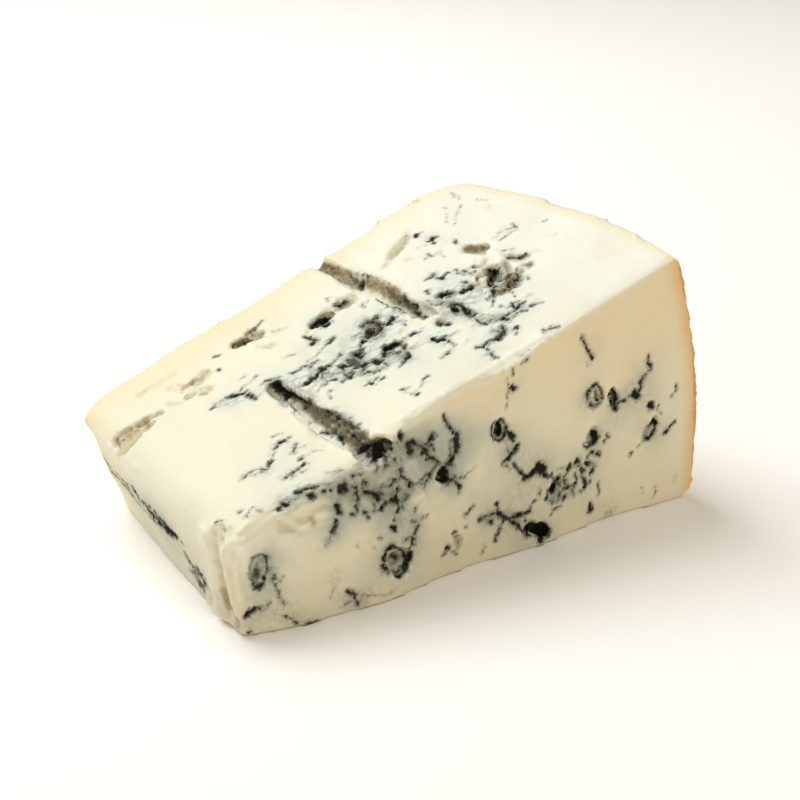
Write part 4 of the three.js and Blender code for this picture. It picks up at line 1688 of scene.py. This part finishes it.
# %% Finishes
class Finish:
    """A material whose nodes are added one by one."""

    def __init__(self, name):
        self.material = bpy.data.materials.new(name)
        self.material.use_nodes = True
        self.tree = self.material.node_tree
        self.shader = self.tree.nodes["Principled BSDF"]

    def node(self, kind, settings, sockets, output=0):
        """Adds a node: its settings first, then the values or wires of its input sockets."""
        made = self.tree.nodes.new(kind)
        for name, value in settings.items():
            setattr(made, name, value)
        for name, value in sockets.items():
            if isinstance(value, Wire):
                self.tree.links.new(value.socket, made.inputs[name])
            else:
                made.inputs[name].default_value = value
        return Wire(made.outputs[output])

    def attribute(self, name):
        """One of the masks kept on the skin."""
        return self.node("ShaderNodeAttribute", {"attribute_name": name}, {}, "Fac")

    def noise(self, place, size, detail=3, roughness=0.55):
        """Noise from 0 to 1 with lumps of a size in mm."""
        scale = {"Vector": place, "Scale": 1 / (size * MM), "Detail": detail, "Roughness": roughness}
        return self.node("ShaderNodeTexNoise", {}, scale, "Fac")

    def warped(self, place, size, reach):
        """A place moved by up to a reach in mm, so that straight borders become crooked."""
        settings = {"Vector": place, "Scale": 1 / (size * MM), "Detail": 2}
        shift = self.node("ShaderNodeTexNoise", {}, settings, "Color")
        scaled = {0: shift, 1: (2 * reach * MM,) * 3, 2: place}
        return self.node("ShaderNodeVectorMath", {"operation": "MULTIPLY_ADD"}, scaled)

    def borders(self, place, size):
        """0 on the borders of cells of a size in mm, rising to about a half in their middles."""
        settings = {"feature": "DISTANCE_TO_EDGE"}
        scale = {"Vector": place, "Scale": 1 / (size * MM)}
        return self.node("ShaderNodeTexVoronoi", settings, scale, "Distance")

    def stretched(self, place, scale):
        """A place on which patterns come out long in the directions of a small scale."""
        return self.node("ShaderNodeMapping", {}, {"Vector": place, "Scale": scale})

    def step(self, value, low, high):
        """0 under low, 1 over high and a soft step between."""
        settings = {"interpolation_type": "SMOOTHSTEP"}
        sockets = {"Value": value, "From Min": low, "From Max": high}
        return self.node("ShaderNodeMapRange", settings, sockets)

    def mix(self, share, first, second):
        """A colour that goes from first to second as share goes from 0 to 1."""
        sockets = {0: share, 6: first, 7: second}
        return self.node("ShaderNodeMix", {"data_type": "RGBA"}, sockets, 2)

    def constant(self, **values):
        """Sets sockets of the shader that have one value all over."""
        for name, value in values.items():
            self.shader.inputs[name.replace("_", " ")].default_value = value

    def drive(self, name, wire):
        """Lets a wire set a socket of the shader."""
        self.tree.links.new(wire.socket, self.shader.inputs[name])


def paint(red, green, blue):
    """A colour from screen values of 0 to 255."""
    shares = [value / 255 for value in (red, green, blue)]
    light = [s / 12.92 if s <= 0.04045 else ((s + 0.055) / 1.055) ** 2.4 for s in shares]
    return (*light, 1)


print("screen value 188 is this share of full light:", round(paint(188, 188, 188)[0], 2))

# %% [markdown]
# ## The finish of the cheese
#
# One colour for each mask would look like a map. So the colours are laid over each other as on the real
# thing: paste, warmer paste near the rind, the cool halo of the mould, stains in the gaps, grey down, the
# mould itself, and the rind outside. The masks say roughly where; noise at the scale of the crumb decides
# the last half millimetre, so that no edge is clean. Everything is procedural, with places taken from the
# piece itself.

# %% Grains of the cheese
GRAIN = 1.1  # mm across the crumbs of the paste
FINE_GRAIN = 0.42  # mm across the grain on them
FIBRE = 0.8  # mm across the fibres that the wire left
CLOUD = 14  # mm across slow changes of tone
CURD = 4  # mm across a curd
PULL = (0.28, 1, 1)  # the fibres are long in X

finish = Finish("cheese with blue mould and rind")
place = finish.node("ShaderNodeTexCoord", {}, {}, "Object")
grain = finish.noise(place, GRAIN, detail=4, roughness=0.65)
fine_grain = finish.noise(place, FINE_GRAIN, roughness=0.6)
dragged = finish.stretched(place, PULL)
fibre = finish.noise(dragged, FIBRE, roughness=0.6)
cloud = finish.noise(place, CLOUD, roughness=0.5)
curd = finish.noise(place, CURD, roughness=0.6)
print("nodes for the grains:", len(finish.tree.nodes))

# %% The masks as wires
mould_wire = finish.attribute("mould")
strength_wire = finish.attribute("strength")
halo_wire = finish.attribute("halo")
down_wire = finish.attribute("down")
upward_wire = finish.attribute("upward")
tip_wire = finish.attribute("tip_side")
height = finish.node("ShaderNodeSeparateXYZ", {}, {"Vector": place}, "Z") * (1 / MM)
length = finish.node("ShaderNodeSeparateXYZ", {}, {"Vector": place}, "X") * (1 / MM)
ragged = grain + (fibre - grain) * upward_wire  # fibres on top, crumbs elsewhere
print("nodes with the masks:", len(finish.tree.nodes))

# %% [markdown]
# ## Threads too thin to draw
#
# Between the veins the ripe paste is webbed with threads thinner than a hair. They run between the curds,
# and on top the wire pulled them long. Drawing them would take thousands of paths. The borders of Voronoi
# cells look much the same once their place is warped, and they only show where the halo is strong.

# %% Fine threads
FRONT_CELL = 3.4  # mm across a curd on the front cut
TOP_CELL = 2.2  # mm across a pulled one on top
THREAD_WIDTH = 0.13  # of a cell
crossed = finish.borders(finish.warped(place, size=2.2, reach=1.6), FRONT_CELL)
pulled = finish.borders(finish.warped(dragged, size=2.0, reach=1.2), TOP_CELL)
border = crossed + (pulled - crossed) * upward_wire
border = border + (curd - 0.5) * 0.3 + (fine_grain - 0.5) * 0.12 - (halo_wire - 0.6) * 0.12
threads = (1 - finish.step(border, 0.0, THREAD_WIDTH)) * finish.step(halo_wire, 0.6, 1.1)
threads = threads * (0.3 + 0.7 * upward_wire)
print("nodes with the fine threads:", len(finish.tree.nodes))

# %% [markdown]
# ## The ragged edge of the mould
#
# The mask of the mould is a depth in mm, so its edge can still be moved. Grain is added before the step,
# which makes the edge ragged; painting with a rough mask afterwards would only make it speckled. Faint
# marks also get thinner, and only thick ones are black all through. A fringe of loose specks lies outside.

# %% Core and fringe
edge = mould_wire + (ragged - 0.5) + (fine_grain - 0.5) * 1.2 - (1 - strength_wire) * 0.4 + 0.05
solid_share = finish.step(mould_wire + (grain - 0.5) * 2.0 + (fine_grain - 0.5) * 0.8, -0.3, 0.3)
much = 0.5 + 0.5 * finish.step(strength_wire, 0.0, 0.9)
core = finish.step(edge, -0.3, 0.34) * much * (0.7 + 0.3 * solid_share)
fringe = finish.attribute("soft_edge") * (0.8 + (ragged - 0.5) * 2.2 + (fine_grain - 0.5) * 0.8)
print("nodes with the mould's edge:", len(finish.tree.nodes))

# %% [markdown]
# ## Paste
#
# The paste isn't one white. It is a little yellower at the tip and nearly white at the wide end, with
# slow clouds of warmer cream in it. A wandering mix along the length is enough on top, which takes the
# full light.

# %% Paste of the top cut
CREAM = paint(240, 239, 224)
TIP_CREAM = paint(236, 234, 211)
END_CREAM = paint(245, 246, 235)
WARM_CREAM = paint(240, 236, 212)
colour = finish.mix(finish.step(length + (cloud - 0.5) * 30, -50, 55), TIP_CREAM, END_CREAM)
colour = finish.mix(finish.step(cloud, 0.35, 0.7) * 0.5, colour, WARM_CREAM)
print("nodes with the top's paste:", len(finish.tree.nodes))

# %% [markdown]
# ## Paste of the front cut
#
# The front cut is a warmer, darker copy of the top's paste, most of all high up. That is partly painted
# warm shade, since this cut faces away from the overhead light. It is darker towards the foot in its
# middle, which is painted shade. The tip is paler again at the front, and darker low down on the cut across
# it, which is painted shade too. Each is a share along the height or the length, all steps in mm.

# %% Paste of the front cut and the tip, with painted shade
# the front cut's creams are partly painted warm shade: this cut faces away from the overhead light
FRONT_CREAM_AND_WARM_SHADE = paint(240, 232, 203)
HIGH_CREAM_AND_WARM_SHADE = paint(242, 224, 182)
SHADED_FOOT_CREAM = paint(202, 198, 176)
SHADED_TIP_PASTE = paint(216, 210, 188)
cloudy_height = height + (cloud - 0.5) * 20
high = finish.step(cloudy_height, 30, 56) * 0.7
by_rind = finish.step(length, 8, 36)
by_corner = 1 - finish.step(length, -46, -16)
# painted shade: darker towards the foot of the front cut, in its middle
foot_shade = (1 - finish.step(cloudy_height, -5, 40)) * (0.4 - 0.35 * by_rind - 0.2 * by_corner)
front_paste_and_shade = finish.mix(foot_shade, finish.mix(high, FRONT_CREAM_AND_WARM_SHADE, HIGH_CREAM_AND_WARM_SHADE), SHADED_FOOT_CREAM)
by_tip = (1 - finish.step(length, -66, -30)) * finish.step(height, 4, 36)
front_paste_and_shade = finish.mix(by_tip * 0.85, front_paste_and_shade, CREAM)
# painted shade: darker low down on the cut across the tip
tip_shade = tip_wire * (1 - finish.step(height, 4, 30)) * 0.9
front_paste_and_shade = finish.mix(tip_shade, front_paste_and_shade, SHADED_TIP_PASTE)
colour = finish.mix(1 - upward_wire, colour, front_paste_and_shade)
print("nodes with the front's paste:", len(finish.tree.nodes))

# %% [markdown]
# ## Paste near the rind
#
# Under the rind the paste has dried and darkened: a broad warm band along the back, and a narrow tan rim
# along every edge of the rind. The two gaps kept on the skin give their breadth.

# %% Warm band and rim
BACK_CREAM = paint(241, 227, 186)
RIM = paint(238, 192, 126)
TOP_RIM = paint(241, 228, 190)
WARM_BAND = 24  # mm
RIM_FROM, RIM_TO = 0.4, 6.5  # mm under the rind
warm = 1 - finish.step(finish.attribute("back_gap"), 0, WARM_BAND)
colour = finish.mix(warm * 0.75, colour, BACK_CREAM)
rim = 1 - finish.step(finish.attribute("rind_gap") + (cloud - 0.5) * 3, RIM_FROM, RIM_TO)
colour = finish.mix(rim * (0.85 - 0.15 * upward_wire), colour, finish.mix(upward_wire, RIM, TOP_RIM))
print("nodes with the rim:", len(finish.tree.nodes))

# %% [markdown]
# ## Cool paste round the mould
#
# Round the mould the paste turns cool and grey. The part towards the tip is the ripest, and where marks
# crowd there it is nearly as grey as stone. The halo's mask carries both, with curds in its border.

# %% Halo and crowd
COOL = paint(203, 204, 186)
RIPE_COOL = paint(183, 190, 176)
TOP_COOL = paint(224, 232, 221)
CROWD_GREY = paint(146, 151, 136)
ripe = (1 - finish.step(length, -12, 16)) * finish.step(height, 6, 20) * (1 - tip_wire)
cool = finish.mix(upward_wire, finish.mix(ripe, COOL, RIPE_COOL), TOP_COOL)
unripe_front = (1 - ripe) * (1 - upward_wire)
cool_share = finish.step(halo_wire + (curd - 0.5) * 0.6, 0.1, 1.0) * (0.85 - 0.3 * unripe_front)
colour = finish.mix(cool_share, colour, cool)
crowd_share = finish.attribute("crowd") * (0.2 + ripe * 0.85 + (curd - 0.5) * 1.2)
colour = finish.mix(crowd_share * (1 - 0.8 * upward_wire), colour, CROWD_GREY)
print("nodes with the halo:", len(finish.tree.nodes))

# %% [markdown]
# ## Dried walls of the hollows, and painted shade in them
#
# The tone of each hollow goes from light tan to dark brown, partly dried wall and partly painted shade. Two
# mixes after each other make three colours of it, and the grain of the crumb roughens their borders.

# %% Stains and painted shade in the hollows
LIGHT_TAN = paint(223, 203, 148)
TAN = paint(178, 157, 110)
BROWN = paint(92, 77, 56)
tone = finish.attribute("stain_and_shade_tone") + (grain - 0.5) * 0.4
stained_and_shaded = finish.attribute("stain_and_shade") * (0.2 + 0.8 * finish.step(tone, 0.0, 0.7))
stained_and_shaded = stained_and_shaded * (0.9 + (grain - 0.5) * 1.2)
light_stain_and_shade = finish.mix(finish.step(tone, 0.05, 0.45), LIGHT_TAN, TAN)
colour = finish.mix(stained_and_shaded, colour, finish.mix(finish.step(tone, 0.35, 0.95), light_stain_and_shade, BROWN))
print("nodes with the stains:", len(finish.tree.nodes))

# %% [markdown]
# ## Down
#
# Down lies in flecks, pale where it is thin and dark where it is thick. The same patchy noise decides
# both, so that the dark flecks lie inside the pale ones.

# %% Grey and dark down
GREY_DOWN = paint(140, 140, 122)
DARK_DOWN = paint(62, 63, 52)
patchy = down_wire * 0.5 + (ragged - 0.5) * 1.8 + (curd - 0.5) * 1.2 + (fine_grain - 0.5)
downy = down_wire * finish.step(patchy, -0.3, 0.5)
down_tone = finish.mix(finish.step(patchy, 0.2, 0.75), GREY_DOWN, DARK_DOWN)
colour = finish.mix(downy * 0.9, colour, down_tone)
print("nodes with the down:", len(finish.tree.nodes))

# %% [markdown]
# ## The mould itself
#
# Blue mould looks black in thick marks and greenish grey at their fringe, with grey flecks of loose
# spores. It is laid on after everything that it grows out of: fringe, fine threads, then the core.

# %% Mould
FRINGE = paint(104, 107, 88)
BLUE_MOULD = paint(13, 13, 8)
GREY_MOULD = paint(78, 75, 58)
colour = finish.mix(finish.step(fringe, 0, 0.9) * 0.8, colour, FRINGE)
colour = finish.mix(threads * 0.4, colour, FRINGE)
flecks = finish.step(fine_grain - mould_wire * 0.12, 0.5, 0.66)
colour = finish.mix(core, colour, finish.mix(flecks, BLUE_MOULD, GREY_MOULD))
print("nodes with the mould:", len(finish.tree.nodes))

# %% [markdown]
# ## Pale places and a painted shadow at the foot
#
# Pale places are cream, and cool inside a halo, where pure cream would look like a hole in it. At the foot
# a thin dark line is painted where the cheese meets the table: a painted contact shadow, which also ties
# the wedge to the floor.

# %% Pale places and the painted shadow at the foot
PAINTED_FOOT_SHADOW = paint(128, 104, 68)
# pale places: bare curds, and painted light on shaded floors, walls and edges
pale_paste = finish.mix(finish.step(halo_wire, 0.4, 0.9) * (1 - upward_wire), CREAM, COOL)
colour = finish.mix(finish.attribute("pale") * 0.6 * (1 - core), colour, pale_paste)
# painted contact shadow: a thin dark line just over the table
painted_foot_shadow = 1 - finish.step(height + (grain - 0.5) * 1.2, 0.15, 0.7)
painted_foot_shadow = painted_foot_shadow * (1 - finish.attribute("underneath"))
colour = finish.mix(painted_foot_shadow * 0.75, colour, PAINTED_FOOT_SHADOW)
print("nodes with the foot line:", len(finish.tree.nodes))

# %% [markdown]
# ## Rind
#
# The rind is dry and tan, washed with brine, and mottled in two sizes: broad pale patches and small dark
# ones. It covers everything else, because nothing of the paste shows through it.

# %% Crust
CRUST = paint(208, 164, 108)
PALE_CRUST = paint(220, 187, 138)
DARK_CRUST = paint(176, 132, 86)
patches = finish.noise(place, 11, detail=5, roughness=0.65)
specks = finish.noise(place, 2.2, detail=4, roughness=0.7)
crust = finish.mix(finish.step(patches, 0.3, 0.72), CRUST, PALE_CRUST)
crust = finish.mix(finish.step(specks, 0.5, 0.85) * 0.6, crust, DARK_CRUST)
skin_wire = finish.step(finish.attribute("rind_skin") + (grain - 0.5) * 0.4, 0.3, 0.7)
colour = finish.mix(skin_wire, colour, crust)
print("nodes with the rind:", len(finish.tree.nodes))

# %% [markdown]
# ## Gloss, grain and soft light
#
# Fat gives the paste a soft gloss, which mould and rind dull. Light goes a few millimetres into it and
# comes out warmer, which is what makes cheese look soft and not like plaster: that is subsurface
# scattering, with red going furthest. A faint bump adds the grain that is too fine for the skin.

# %% Shader
LIGHT_REACH = (1.0, 0.6, 0.32)  # of red, green and blue light, as shares of the scale
SCATTER = 0.003  # m
finish.drive("Base Color", colour)
finish.drive("Roughness", 0.42 + halo_wire * 0.12 + skin_wire * 0.25 + core * 0.2)
bump_height = fine_grain * 0.4 + grain * 0.6 - core * 0.5
bump = finish.node(
    "ShaderNodeBump",
    {},
    {"Strength": 0.25, "Distance": 0.4 * MM, "Height": bump_height},
)
finish.drive("Normal", bump)
finish.constant(Subsurface_Weight=0.35, Subsurface_Scale=SCATTER, Subsurface_Radius=LIGHT_REACH)
finish.constant(Specular_IOR_Level=0.28)
print("nodes in the finish:", len(finish.tree.nodes))

# %% [markdown]
# ## Put the cheese in the solid's place
#
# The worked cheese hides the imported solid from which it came, moves with its body and takes its one
# slot. Nothing on the wedge moves by itself, so it rides on the root.

# %% Dress the solid
cheese.data.materials.clear()
cheese.data.materials.append(finish.material)

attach(cheese, "root")
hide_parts("cheese_wedge")
print("faces of the finished cheese:", len(cheese.data.polygons))

# %% [markdown]
# ## Floor and light
#
# A plain pale floor and one broad light overhead, a little behind the cheese, as on a studio table. The
# top cut takes the full light, and the front cut only gets what the floor gives back and what a weak warm
# lamp adds. A hard lamp would make the soft paste look like wax.

# %% Floor
FLOOR_SIDE = 6.0  # m
floor_mesh = bpy.data.meshes.new("floor")
floor_builder = bmesh.new()
bmesh.ops.create_grid(floor_builder, x_segments=1, y_segments=1, size=FLOOR_SIDE / 2)
floor_builder.to_mesh(floor_mesh)
floor_builder.free()
floor = bpy.data.objects.new("floor", floor_mesh)
bpy.context.scene.collection.objects.link(floor)
floor_finish = Finish("white table")
floor_finish.constant(Base_Color=(0.97, 0.96, 0.94, 1), Roughness=0.9, Specular_IOR_Level=0.1)
floor_finish.constant(Emission_Color=(1, 1, 1, 1), Emission_Strength=0.08)
floor_mesh.materials.append(floor_finish.material)
floor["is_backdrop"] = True
print("the floor is", FLOOR_SIDE, "m wide")

# %% Lights
LAMP_AIM = Vector((0, 0, 0.03))  # m, the middle of the cheese


def softbox(name, place, side, power, colour):
    """A square light that shines from its place at the middle of the cheese."""
    lamp = bpy.data.lights.new(name, "AREA")
    lamp.size = side
    lamp.energy = power
    lamp.color = colour
    box = bpy.data.objects.new(name, lamp)
    box.location = place
    box.rotation_euler = (LAMP_AIM - Vector(place)).to_track_quat("-Z", "Y").to_euler()
    bpy.context.scene.collection.objects.link(box)


softbox("overhead light", place=(-0.3, 0.75, 1.2), side=1.1, power=18.3, colour=(0.94, 0.98, 1.0))
softbox("lamp in the room", place=(-0.3, -0.95, 0.5), side=0.8, power=2, colour=(1.0, 0.86, 0.68))
print("lights:", len(bpy.data.lights))

# %% Light of the room
ROOM_COLOUR = (1.0, 0.9, 0.75, 1)
ROOM_LIGHT = 0.4
world = bpy.data.worlds.new("room")
world.use_nodes = True
background = world.node_tree.nodes["Background"]
background.inputs["Color"].default_value = ROOM_COLOUR
background.inputs["Strength"].default_value = ROOM_LIGHT
bpy.context.scene.world = world
bpy.context.scene.view_settings.view_transform = "Standard"
print("the room gives a warm light of", ROOM_LIGHT)

# %% [markdown]
# ## Sizes
#
# The finished cheese has to stay as large as the imported solid. The box of what is shown is printed here.

# %% Print the size
low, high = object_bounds()
print("the finished cheese measures, in mm:", [round(side / MM, 1) for side in high - low])
